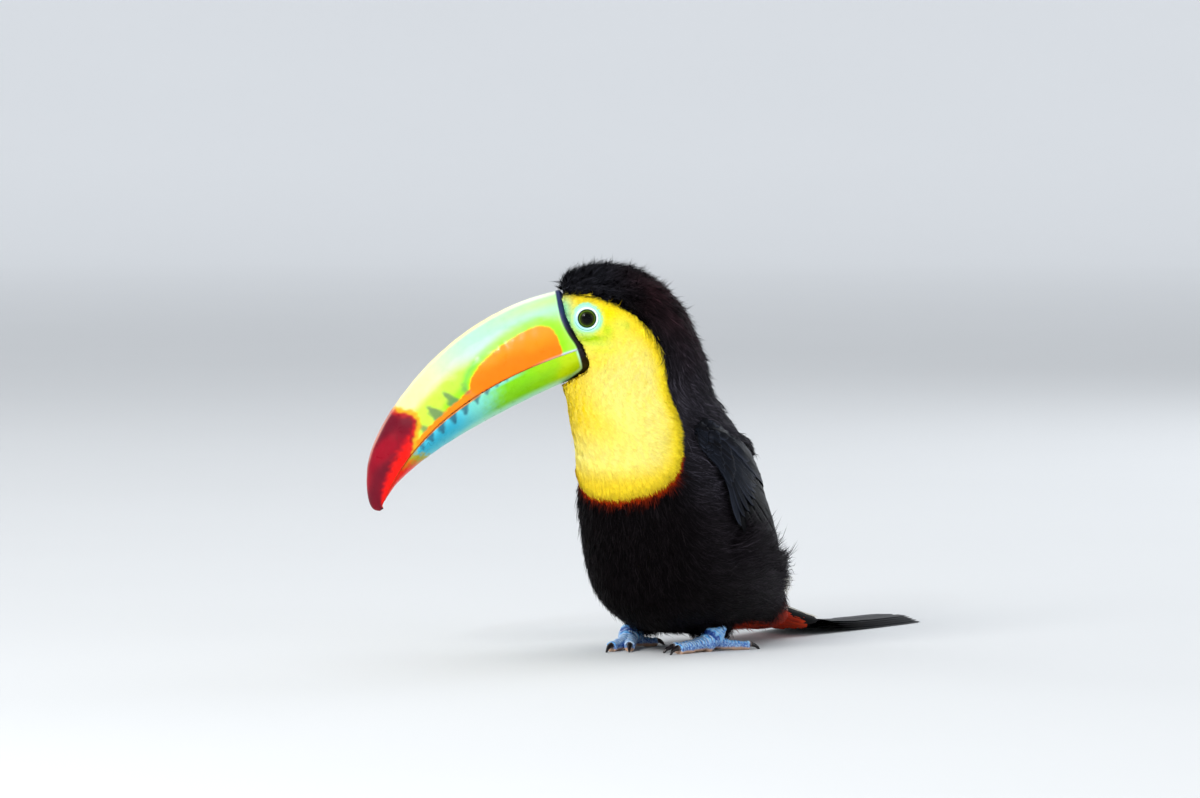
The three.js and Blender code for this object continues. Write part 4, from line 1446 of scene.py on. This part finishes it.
def bill_grid(half, columns):
    """Profile points of one half of the bill, in closed rings from inside the head to a rounded
    tip, with each point's share along the bill and height from the cutting edge to the ridge."""
    sign = 1 if half == "upper" else -1
    along = np.linspace(0, 1, BILL_ROWS)
    ridge = RIDGES[half](along)
    reach = 1 if half == "upper" else LOWER_BILL_REACH
    edge = TOMIUM_LINE(along * reach) + np.array([0, sign * TOMIUM_GAP / 2])
    rise = ridge - edge
    angles = bill_ring_columns(columns)
    height = np.cos(angles) ** 0.85
    height[[0, -1]] = 0
    side = np.sin(angles) * (1 - KEEL[half] * height)
    back_side = np.linspace(1, -1, PALATE_COLUMNS + 2)[1:-1]
    back_height = 0.1 * (1 - back_side**2) ** 0.5
    height = np.concatenate([height, back_height])
    side = np.concatenate([side, back_side])
    flat = edge[:, None] + rise[:, None] * height[None, :, None]
    lip = np.exp(-height / 0.03)[None, :] * serration(along, half)[:, None]
    flat[..., 1] += sign * lip
    across = bill_half_width(along)[:, None] * side[None]
    grid = np.stack([flat[..., 0], across, flat[..., 1]], -1)
    shares = np.broadcast_to(along[:, None], across.shape)
    heights = np.broadcast_to(height[None], across.shape)
    return rounded_tip(grid, shares, heights)


def grid_normals(grid):
    """Outward normals at a closed tube's points."""
    along = np.gradient(grid, axis=0)
    across = np.roll(grid, -1, axis=1) - np.roll(grid, 1, axis=1)
    normals = unit(np.cross(along, across))
    outward = grid - grid.mean(1, keepdims=True)
    return normals * np.sign((normals * outward).sum(-1).sum(-1))[:, None, None]


def teeth(share, height, ragged, rows):
    """Dark wedges along the cutting edge: rows of [share along, reach, half width, strength]."""
    shade = np.zeros(share.shape)
    for middle, reach, half, strength in rows:
        lean = 0.16 * height * half / reach
        room = half * (1 - np.clip(height / reach, 0, 1)) ** 0.75
        gap = room - np.abs(share - middle - lean) + 0.0035 * ragged
        inside = smoothstep(gap, -0.005, 0.012) * smoothstep(height, reach, reach * 0.75)
        shade = np.maximum(shade, strength * inside)
    return shade


UPPER_TEETH = [
    (0.475, 0.42, 0.02, 0.55), (0.535, 0.5, 0.03, 0.85), (0.605, 0.52, 0.034, 0.9),
    (0.672, 0.36, 0.026, 0.8),
]
LOWER_TEETH = [
    (0.345, 0.12, 0.009, 0.7), (0.385, 0.14, 0.011, 0.75), (0.43, 0.22, 0.016, 0.85),
    (0.478, 0.34, 0.02, 0.9), (0.532, 0.46, 0.024, 0.95), (0.588, 0.52, 0.025, 0.95),
    (0.644, 0.56, 0.026, 0.95), (0.7, 0.55, 0.024, 0.9), (0.748, 0.55, 0.016, 0.8),
]
# The orange patch's edge: share along the bill, height share, from the gape over the top.
ORANGE_EDGE = [
    (0.112, -0.1), (0.118, 0.18), (0.13, 0.4), (0.158, 0.53), (0.2, 0.565), (0.26, 0.54),
    (0.33, 0.485), (0.395, 0.41), (0.442, 0.3), (0.472, 0.17), (0.56, 0.1),
]
RED_EDGE = [(0.68, 1.1), (0.668, 0.8), (0.655, 0.55), (0.675, 0.34), (0.72, 0.2), (0.8, -0.1)]
BILL_SCALE = np.array([BILL_LENGTH, BILL_HEIGHT])
LIP_HEIGHTS = (0.03, 0.012)  # the lips' colour fades in between these heights


def upper_bill_paint(profile, share, height):
    """Mint over lime, the mint partly painted highlight; an orange patch, dark teeth and a red tip; a
    painted highlight along the ridge.
    """
    ragged = wobble(profile, 3, 21)
    broad = wobble(profile, 16, 22)
    flat = np.stack([share, height], 1) * BILL_SCALE
    orange = -edge_distance(flat, np.array(ORANGE_EDGE) * BILL_SCALE) + 0.25 * ragged
    red = edge_distance(flat, np.array(RED_EDGE) * BILL_SCALE) + 0.6 * ragged
    # Painted highlight along the ridge: near white at the base, cream further on.
    ridge = smoothstep(height, 0.93, 0.985)
    base_band = bell(height, 0.88, 0.09) * smoothstep(share, 0.4, 0.12)
    green = bell(orange, -2.4, 1.3) * smoothstep(share, 0.3, 0.4) * smoothstep(share, 0.52, 0.46)
    stripe = smoothstep(height + 0.02 * ragged, 0.15, 0.1) * smoothstep(share, 0.42, 0.5)
    smudge = smoothstep(wobble(profile, 5, 23), 0.25, 0.9) * bell(height, 0.34, 0.2)
    deep = layered(
        blend("#6a001c", "#98001e", smoothstep(broad, -0.8, 0.8)),
        ("#f51003", smoothstep(height + 0.05 * ragged, 0.44, 0.16)),
        ("#d0281c", smoothstep(red, 4, 0) * 0.8),
        ("#5a0714", 0.6 * smudge * smoothstep(share, 0.9, 0.8)),
    )
    # Pale mint on the upper side: partly the bill's own colour, partly painted highlight.
    mint_and_highlight = blend("#aeeec4", "#e6f7a0", smoothstep(share, 0.36, 0.62))
    glow = blend("#fd7a00", "#ff8f02", smoothstep(height + 0.1 * broad, 0.1, 0.5))
    lip = blend("#c9bdb4", "#b04a08", smoothstep(share, 0.14, 0.25))
    return layered(
        blend("#a4e83a", "#c9ee45", smoothstep(share, 0.3, 0.65)),
        (mint_and_highlight, smoothstep(height + 0.04 * broad, 0.48, 0.72)),
        ("#c2f38a", 0.8 * base_band),
        (blend("#f3ffe0", "#fff0b0", smoothstep(share, 0.15, 0.35)), ridge),
        ("#93dc12", 0.9 * smoothstep(orange, -5.5, -1.5) * (share < 0.6)),
        ("#6cc653", 0.6 * green),
        ("#dbe012", smoothstep(orange, -0.9, -0.2) * mix(0.35, 0.9, smoothstep(share, 0.2, 0.4))),
        (glow, smoothstep(orange, -0.35, 0.45)),
        ("#c4e4f0", smoothstep(share, 0.125, 0.112) * smoothstep(height, 0.05, 0.02)),
        ("#41685a", 0.85 * teeth(share, height, ragged, UPPER_TEETH)),
        ("#f58a0c", stripe),
        ("#e0a81a", smoothstep(red, -3, -0.6)),
        (deep, smoothstep(red, -0.6, 1.4)),
        # Painted highlight, pink, along the ridge over the red.
        ("#f0a58c", 0.6 * ridge * bell(share, 0.75, 0.1)),
        (lip, 0.8 * smoothstep(height, *LIP_HEIGHTS)),
    )


def lower_bill_paint(profile, share, height):
    """Lime that turns to sea blue, dark teeth, an orange and red tip, and a pale painted reflection along
    the lower edge.
    """
    ragged = wobble(profile, 3, 31)
    slant = share + 0.05 * height + 0.012 * ragged
    lime = blend("#c2e20a", "#86d90c", smoothstep(share, 0.08, 0.3))
    lime = blend(lime, "#7bd616", 0.5 * smoothstep(wobble(profile, 16, 32), -0.5, 0.8))
    sea = blend("#7fdfc9", "#58cfe2", smoothstep(share, 0.45, 0.6))
    sea = blend(sea, "#35b6d6", bell(height, 0.45, 0.3) * smoothstep(share, 0.5, 0.62))
    # Painted reflection: pale along the lower edge, towards the base.
    gonys_reflection = smoothstep(height, 0.74, 0.96)
    upper_edge = smoothstep(height, 0.16, 0.05) * smoothstep(share, 0.25, 0.36)
    vein = np.abs(wobble(profile, 2.4, 33)) < 0.12
    streaks = vein * bell(share, 0.73, 0.04) * smoothstep(height, 0.8, 0.5)
    edge = smoothstep(height, 0.09, 0.03) * smoothstep(share, 0.42, 0.52)
    lip = blend("#7d9a3c", "#c05a0c", smoothstep(share, 0.3, 0.5))
    return layered(
        lime,
        (sea, smoothstep(slant + 0.1 * (0.35 - height), 0.37, 0.5)),
        ("#a6efd6", 0.85 * gonys_reflection * smoothstep(share, 0.7, 0.5)),
        ("#83e0c4", upper_edge * smoothstep(share, 0.6, 0.5)),
        ("#27536b", 0.85 * teeth(share, height, ragged, LOWER_TEETH)),
        ("#2f6f8a", 0.6 * streaks),
        ("#b3ae2c", smoothstep(slant, 0.775, 0.815)),
        ("#e2780f", smoothstep(slant, 0.81, 0.85)),
        ("#fb2006", smoothstep(slant, 0.845, 0.885)),
        ("#f08a10", edge * smoothstep(share, 0.9, 0.82)),
        (lip, 0.7 * smoothstep(height, *LIP_HEIGHTS)),
    )


BILL_PAINTS = {"upper": upper_bill_paint, "lower": lower_bill_paint}


def make_bill(half, columns):
    """One half of the bill, with the raised black band round its base."""
    grid, share, height = bill_grid(half, columns)
    normals = grid_normals(grid)
    rows, ring = share.shape
    profile = grid.reshape(-1, 3)
    share, height = share.ravel(), height.ravel()
    ahead = edge_distance(profile[:, [0, 2]], FEATHER_LINE)
    band_width = BAND_WIDTH + 0.9 * bell(profile[:, 2], 146, 6)
    band_width *= mix(1, 0.5, smoothstep(profile[:, 0], 58, 66) * (profile[:, 2] < 145))
    band = smoothstep(ahead, band_width + 0.35, band_width - 0.35)
    swell = BAND_SWELL * smoothstep(ahead, band_width + 0.7, band_width - 0.5)
    swell += 0.07 * wobble(profile, 9, 41) * smoothstep(share, 0.1, 0.3)
    swell -= HORN_TUCK * smoothstep(ahead, 0.1, -2.2)
    rim = smoothstep(ahead, band_width + 1.5, band_width + 0.2) * (0.7 if half == "lower" else 0.1)
    # The black band, with a painted bluish sheen on its upper part.
    black = blend("#160d12", "#26315e", smoothstep(profile[:, 2], 158, 172))
    paint = layered(BILL_PAINTS[half](profile, share, height), ("#b6efe6", rim), (black, band))
    profile = profile + normals.reshape(-1, 3) * swell[:, None]
    points = to_model(profile, HEAD_TURN)
    faces = grid_faces(rows, ring, closed=True)
    ends = np.arange(ring)
    piece = make_piece(f"bill_{half}_horn", points, faces, paint)
    close_ends(piece, [ends, ends + (rows - 1) * ring])
    return finish_piece(piece, f"bill_{half}", f"bill_{half}", f"bill_{half}")


def close_ends(piece, rings):
    """Fills the holes at a tube's ends and turns every face out."""
    work = bmesh.new()
    work.from_mesh(piece.data)
    work.verts.ensure_lookup_table()
    for ring in rings:
        corners = [work.verts[int(i)] for i in ring]
        work.faces.new(corners)
    bmesh.ops.recalc_face_normals(work, faces=work.faces[:])
    work.to_mesh(piece.data)
    work.free()


# ---------------------------------------------------------------- eyes

EYE_RADIUS = 6.3
IRIS_RADIUS = 4.6
PUPIL_RADIUS = 2.3
RIM_RADIUS = 5.15  # the lids' thick rim runs here
RING_SEAT = 4.1  # how far out of the eye's middle the ring of bare skin starts
RING_REACH = 11  # bare skin goes under the coat by here
CORNEA_RISE = 0.22
FAR_OUT = 60  # beyond the head's side


def eye_centre(sign):
    """The eyeball's middle, [forward, side, up]."""
    node = "eye_left" if sign > 0 else "eye_right"
    local = turned((np.array([centre_of(node)]) - TURN_AXIS) / MM, -HEAD_TURN)[0]
    return np.array([TURN_AXIS_FORWARD - local[1], local[0], local[2]])


def make_eye(side, sign):
    """The eyeball with its cornea, iris and pupil."""
    rows, columns = 90, 120
    polar = np.linspace(0.002, np.pi - 0.002, rows)[:, None]
    around = np.linspace(0, 2 * np.pi, columns, endpoint=False)[None]
    cornea = CORNEA_RISE * smoothstep(np.sin(polar), 0.78, 0.4) * (polar < np.pi / 2)
    radius = EYE_RADIUS - 0.1 + cornea
    offset = np.stack([
        radius * np.sin(polar) * np.cos(around),
        sign * radius * np.cos(polar) * np.ones_like(around),
        radius * np.sin(polar) * np.sin(around),
    ], -1).reshape(-1, 3)
    profile = eye_centre(sign) + offset
    out = np.where(offset[:, 1] * sign > 0, np.hypot(offset[:, 0], offset[:, 2]), 9)
    angle = np.arctan2(offset[:, 2], offset[:, 0])
    fibre = 0.4 + 0.6 * (0.5 + 0.5 * np.sin(angle * 46 + 2 * np.sin(angle * 7)))
    iris = blend("#141a05", "#2b3409", smoothstep(out, 2.4, 3.5) * fibre)
    iris = blend(iris, "#5d8418", bell(out, 3.8, 0.22) * fibre)
    paint = layered(
        "#010101",
        (iris, smoothstep(out, PUPIL_RADIUS, PUPIL_RADIUS + 0.25)),
        ("#040706", smoothstep(out, IRIS_RADIUS - 0.55, IRIS_RADIUS - 0.25)),
    )
    points = to_model(profile, HEAD_TURN)
    piece = make_piece(f"eye_{side}_ball", points, grid_faces(rows, columns, True), paint)
    ends = np.arange(columns)
    close_ends(piece, [ends, ends + (rows - 1) * columns])
    return finish_piece(piece, "eye", "eye", f"eye_{side}")


def side_of_skin(tree, flat, sign):
    """How far out the skin lies at each [forward, up] on one side of the head."""
    out = np.full(len(flat), np.nan)
    start = np.stack([flat[:, 0], np.full(len(flat), FAR_OUT * sign), flat[:, 1]], 1)
    starts = to_model(start, HEAD_TURN)
    way = Vector(-sign * HEAD_LEFT)
    for k, point in enumerate(starts):
        hit = tree.ray_cast(Vector(point), way)
        if hit[0] is not None:
            out[k] = FAR_OUT - hit[3] / MM
    return out


def lid_relief(out, angle, below):
    """How far the lids' rim and the folds of the bare skin stand out: at a distance from the eye's
    middle and an angle, with more folds below the eye."""
    crinkle = 0.5 + 0.5 * np.sin(angle * 9 + 2 * np.sin(angle * 4))
    rise = 0.5 * bell(out, RIM_RADIUS, 0.42) + 0.12
    rise -= 0.22 * bell(out, 5.95, 0.25)
    folds = 0.12 * np.cos((out - 6.5) * 2 * np.pi / 1.05) * (0.5 + 0.7 * crinkle)
    rise += folds * smoothstep(out, 5.9, 6.6) * smoothstep(out, 9.8, 8.6)
    rise += 0.3 * below * (bell(out, 7.7, 0.8) - 0.8 * bell(out, 8.7, 0.4))
    rise += 0.05 * np.cos(angle * 52 + 3 * np.sin(angle * 5)) * smoothstep(out, 5.4, 6.4)
    rise -= 0.45 * smoothstep(out, 4.75, 4.35)
    rise -= 1.5 * smoothstep(out, 7.8, 9.8)
    return rise


def lid_paint(out, angle, below, coat):
    """Pale lids and green bare skin that goes over into the coat's colours."""
    ring = blend("#94e0be", "#a9e49c", smoothstep(np.cos(angle - 2.4), 0.5, -0.8))
    rim = blend("#f1fffa", "#a5ecf0", 0.8 * smoothstep(np.cos(angle + 0.9), 0, 0.9))
    edge = out + 0.5 * np.sin(angle * 3 + 1) + 0.35 * np.sin(angle * 17 + 2 * np.sin(angle * 5))
    return layered(
        "#b0ecd4",
        (ring, smoothstep(out, 6.1, 7.2)),
        ("#a9d80c", 0.85 * below * smoothstep(out, 6.9, 8.4)),
        ("#2f8f92", bell(out, 5.85, 0.16) * (0.35 + 0.55 * below)),
        (rim, np.clip(1.5 * bell(out, RIM_RADIUS, 0.5), 0, 1)),
        ("#0b1d18", smoothstep(out, 4.75, 4.5)),
        (coat, smoothstep(edge, 6.9, 8.4)),
    )


def make_lids(side, sign, tree):
    """The rim of the lids and the ring of bare, finely folded skin round it."""
    middle = eye_centre(sign)
    reach = np.concatenate([np.linspace(4.3, 6.2, 22), np.linspace(6.35, RING_REACH, 26)])
    around = np.linspace(0, 2 * np.pi, 144, endpoint=False)
    out, angle = np.meshgrid(reach, around, indexing="ij")
    out, angle = out.ravel(), angle.ravel()
    flat = middle[[0, 2]] + np.stack([out * np.cos(angle), out * np.sin(angle)], 1)
    skin = side_of_skin(tree, flat, sign)
    ball = abs(middle[1]) + np.sqrt(np.maximum(EYE_RADIUS**2 - out**2, 0))
    base = mix(ball, abs(middle[1]) + RING_SEAT, smoothstep(out, 4.6, 5.5))
    base = mix(base, skin, smoothstep(out, 5.6, 8.8))
    below = smoothstep(np.sin(angle), 0.1, -0.7)
    coat = plumage_paint(np.stack([flat[:, 0], skin, flat[:, 1]], 1))
    out_to = base + lid_relief(out, angle, below)
    points = to_model(np.stack([flat[:, 0], sign * out_to, flat[:, 1]], 1), HEAD_TURN)
    faces = grid_faces(len(reach), len(around), True)
    if sign < 0:
        faces = faces[:, ::-1]
    piece = make_piece(f"lids_{side}", points, faces, lid_paint(out, angle, below, coat))
    return finish_piece(piece, "bare_skin", "face_feathers")


# ---------------------------------------------------------------- feet

ANKLE_HEIGHT = 6.4
HOCK = (17, 21)  # how far behind the ankle, and how high
TOES = (1, 2, 3, 4)
TOE_HEIGHT = 2.4
TOE_ROOT_RISE = 1.6  # the toes start this much higher, under the ankle
TARSUS_TOP = 0.7  # all round, the tarsus looks like a toe's side this high up
SCUTE_PITCH = 1.75
SCUTE_SHIFT = 0.37  # from one toe to the next, so that their plates don't line up
ANKLE_SWELL = 1.5  # the knob over the toes stands out this far
TARSUS_SLIMMING = 2  # over the ankle the tarsus draws in by this, inside the feathers
LEG_VOXEL = 0.36 * MM
CLAW_VOXEL = 0.16 * MM


def nearest_on(points, start, end):
    """For each point, the share of the way along a segment and the offset from it."""
    way = end - start
    share = np.clip((points - start) @ way / (way @ way), 0, 1)
    return share, points - start - share[:, None] * way


def foot_axes(side):
    """The tarsus and the toes as segments in the model's frame, all in millimetres."""
    forward, across = FOOT_PLACE[side]
    joints = [[forward, across, ANKLE_HEIGHT], [forward - HOCK[0], across, HOCK[1]]]
    ankle, hock = to_model(np.array(joints, float)) / MM
    axes = [(ankle, hock)]
    for toe in TOES:
        end = np.array(centre_of(f"claw_{side}_{toe}")) / MM
        end[2] = TOE_HEIGHT
        axes.append((np.array([ankle[0], ankle[1], TOE_HEIGHT + TOE_ROOT_RISE]), end))
    return axes


def place_on_foot(side, points):
    """For each point, the length along the nearest toe or the tarsus, and how far it lies on top:
    1 over a toe, -1 under it, and TARSUS_TOP all round the tarsus."""
    nearest = np.full(len(points), 1e9)
    along = np.zeros(len(points))
    over = np.zeros(len(points))
    for k, (start, end) in enumerate(foot_axes(side)):
        share, offset = nearest_on(points, start, end)
        distance = np.linalg.norm(offset, axis=1)
        closer = distance < nearest
        nearest[closer] = distance[closer]
        along[closer] = (share * np.linalg.norm(end - start))[closer] + SCUTE_SHIFT * k
        top = offset[:, 2] / np.maximum(distance, 1e-6)
        over[closer] = (top if k else TARSUS_TOP + 0 * top)[closer]
    return along, over


def make_leg(side):
    """The tarsus and toes: plates over the top, small scales at the sides, pads below."""
    leg = remeshed(f"foot_{side}", [f"leg_{side}"], LEG_VOXEL, 8)
    points = points_of(leg.data) / MM
    normals = normals_of(leg.data)
    along, over = place_on_foot(side, points)
    ragged = wobble(points, 2.6, 51)
    phase = along / SCUTE_PITCH + 0.12 * ragged
    saw = phase % 1
    crease = np.maximum(smoothstep(saw, 0.2, 0), smoothstep(saw, 0.84, 1))
    plates = smoothstep(over + 0.1 * ragged, 0.1, 0.45)
    pebble = wobble(points, 1.15, 52) * wobble(points, 1.4, 53)
    sole = smoothstep(over + 0.08 * ragged, -0.35, -0.6) * smoothstep(points[:, 2], 2.6, 1.4)
    rise = plates * (0.42 * (1 - crease) + 0.2 * smoothstep(saw, 0.2, 0.9) - 0.16)
    rise += (1 - plates) * np.clip(0.2 * pebble, -0.14, 0.22)
    rise *= smoothstep(points[:, 2], 0.25, 0.9)
    from_ankle = np.linalg.norm(points - foot_axes(side)[0][0], axis=1)
    rise += ANKLE_SWELL * bell(from_ankle, 0, 6.5) * smoothstep(points[:, 2], 2, 5)
    rise -= TARSUS_SLIMMING * smoothstep(points[:, 2], ANKLE_HEIGHT + 4, ANKLE_HEIGHT + 7.5)
    points = points + normals * rise[:, None]
    points[:, 2] = np.maximum(points[:, 2], 0)
    set_points(leg.data, points * MM)

    plate = layered(
        blend("#3f93e0", "#8cc8f4", smoothstep(ragged, -0.8, 0.8)),
        ("#d6e6f2", 0.75 * smoothstep(saw, 0.55, 0.82) * (1 - crease)),
        ("#0a3c94", crease),
    )
    small = blend("#1857b0", "#a3c8ea", smoothstep(pebble, -0.2, 0.3))
    paint = layered(small, (plate, plates), ("#c9a58c", sole))
    set_paint(leg.data, paint)
    return finish_piece(leg, "scales", "leg_skin", f"leg_{side}")


def make_claw(side, toe):
    """One claw, pale at its root."""
    node = f"claw_{side}_{toe}"
    claw = remeshed(f"nail_{side}_{toe}", [node], CLAW_VOXEL, 5)
    points = points_of(claw.data) / MM
    start, end = foot_axes(side)[toe]
    share, _ = nearest_on(points, start, end + (end - start))
    tip = smoothstep(share, share.min(), share.max())
    streak = wobble(points * np.array([1, 1, 3]), 1.6, 61)
    paint = blend("#1b1719", "#3a2c27", smoothstep(streak, 0.2, 1) * (1 - tip))
    paint = blend(paint, "#8b7a74", smoothstep(tip, 0.12, 0.0) * 0.6)
    set_paint(claw.data, paint)
    return finish_piece(claw, "claw", "claw", node)


# ---------------------------------------------------------------- studio

CAMERA_AZIMUTH = math.radians(33)
CAMERA_ELEVATION = math.radians(3)
CAMERA_DISTANCE = 3.333
CAMERA_LENS = 200
AIM_RIGHT = -37.5 * MM  # the middle of the view, beside the bird's own origin
AIM_UP = 125.5 * MM


def make_camera():
    """Looks level at the bird's left cheek, from ahead and to its left."""
    sin, cos = math.sin(CAMERA_AZIMUTH), math.cos(CAMERA_AZIMUTH)
    level = math.cos(CAMERA_ELEVATION)
    back = Vector((sin * level, -cos * level, math.sin(CAMERA_ELEVATION)))
    right = Vector((cos, sin, 0))
    target = Vector(ORIGIN) + right * AIM_RIGHT + Vector((0, 0, AIM_UP))
    data = bpy.data.cameras.new("camera")
    data.lens = CAMERA_LENS
    data.sensor_width = 36
    data.clip_start = 0.1
    data.clip_end = 100
    camera = linked("camera", data)
    camera.location = target + back * CAMERA_DISTANCE
    camera.rotation_euler = back.to_track_quat("Z", "Y").to_euler()
    bpy.context.scene.camera = camera
    return target, back, right


def make_light(name, target, way, distance, size, power, tint):
    """A soft panel at a distance from the target, shining back at it."""
    data = bpy.data.lights.new(name, "AREA")
    data.shape = "RECTANGLE"
    data.size, data.size_y = size
    data.energy = power
    data.color = tint
    light = linked(name, data)
    light.location = target + way.normalized() * distance
    light.rotation_euler = way.to_track_quat("Z", "Y").to_euler()
    light.visible_camera = False


def make_studio():
    target, back, right = make_camera()
    up = Vector((0, 0, 1))
    cool = (0.94, 0.97, 1)
    lights = {
        "key": (back + up * 0.75 - right * 0.75, 2.4, (1, 1), 38, (1, 0.98, 0.95)),
        "fill": (back + up * 0.2 + right * 1.3, 3, (2, 1.6), 9, cool),
        "top": (up + right * 0.25 - back * 0.3, 2.2, (1.8, 1.8), 12, cool),
        "rim": (up * 0.6 + right * 0.8 - back, 2.4, (1, 1.5), 14, cool),
        "rim_left": (up * 0.5 - right - back * 0.7, 2.4, (1, 1.5), 7, (1, 1, 1)),
        "glint": (back + up * 0.5 - right * 0.45, 2.2, (0.1, 0.12), 5, (0.85, 0.95, 1)),
    }
    for name, settings in lights.items():
        make_light(name, target, *settings)
    world = bpy.data.worlds.new("world")
    world.use_nodes = True
    world.node_tree.nodes["Background"].inputs["Color"].default_value = (0.82, 0.85, 0.88, 1)
    world.node_tree.nodes["Background"].inputs["Strength"].default_value = 0.6
    bpy.context.scene.world = world
    bpy.context.scene.view_settings.view_transform = "Standard"


WALL_GLOW = 0.3  # the far wall shines softly, as a lit backdrop does


def make_floor():
    """A wide floor that curves up into a wall all round, so that no edge shows from any side."""
    bend, reach, wall = 6, 10, 7
    turn = np.linspace(0, np.pi / 2, 24)
    radius = np.concatenate([[0.01, 1, 3], bend + (reach - bend) * np.sin(turn), [reach]])
    height = np.concatenate([[0, 0, 0], (reach - bend) * (1 - np.cos(turn)), [wall]])
    around = np.linspace(0, 2 * np.pi, 96, endpoint=False)
    points = np.stack([
        radius[:, None] * np.cos(around), radius[:, None] * np.sin(around),
        np.broadcast_to(height[:, None], (len(radius), len(around))),
    ], -1).reshape(-1, 3)
    floor = make_piece("floor", points, grid_faces(len(radius), len(around), True))
    close_ends(floor, [np.arange(len(around))])
    nodes = Nodes("floor")
    grain = nodes.noise(3, 2)
    distance = nodes.add("ShaderNodeVectorMath", {0: nodes.place()}, operation="LENGTH").outputs["Value"]
    shade = nodes.add("ShaderNodeMix", {"Factor": grain}, data_type="RGBA")
    shade.inputs["A"].default_value = (0.68, 0.69, 0.7, 1)
    shade.inputs["B"].default_value = (0.7, 0.71, 0.72, 1)
    nodes.shade(
        Base_Color=shade.outputs["Result"],
        Roughness=nodes.ramp(grain, 0.3, 0.7, 0.85, 0.92),
        Specular_IOR_Level=0.1,
        Emission_Color=(0.9, 0.94, 1, 1),
        Emission_Strength=nodes.ramp(distance, 1.2, 7, 0, WALL_GLOW),
    )
    floor.data.materials.append(nodes.material)


# ---------------------------------------------------------------- the whole bird

make_studio()
make_floor()
skin = make_skin()
skin_tree = tree_of(skin.data)
make_coat(skin, skin_tree)
make_tail()
make_tail_coverts()
make_bill("upper", 130)
make_bill("lower", 110)
for side, sign in SIDES.items():
    make_eye(side, sign)
    make_lids(side, sign, skin_tree)
    make_wing(side, sign)
    make_leg(side)
    for toe in TOES:
        make_claw(side, toe)
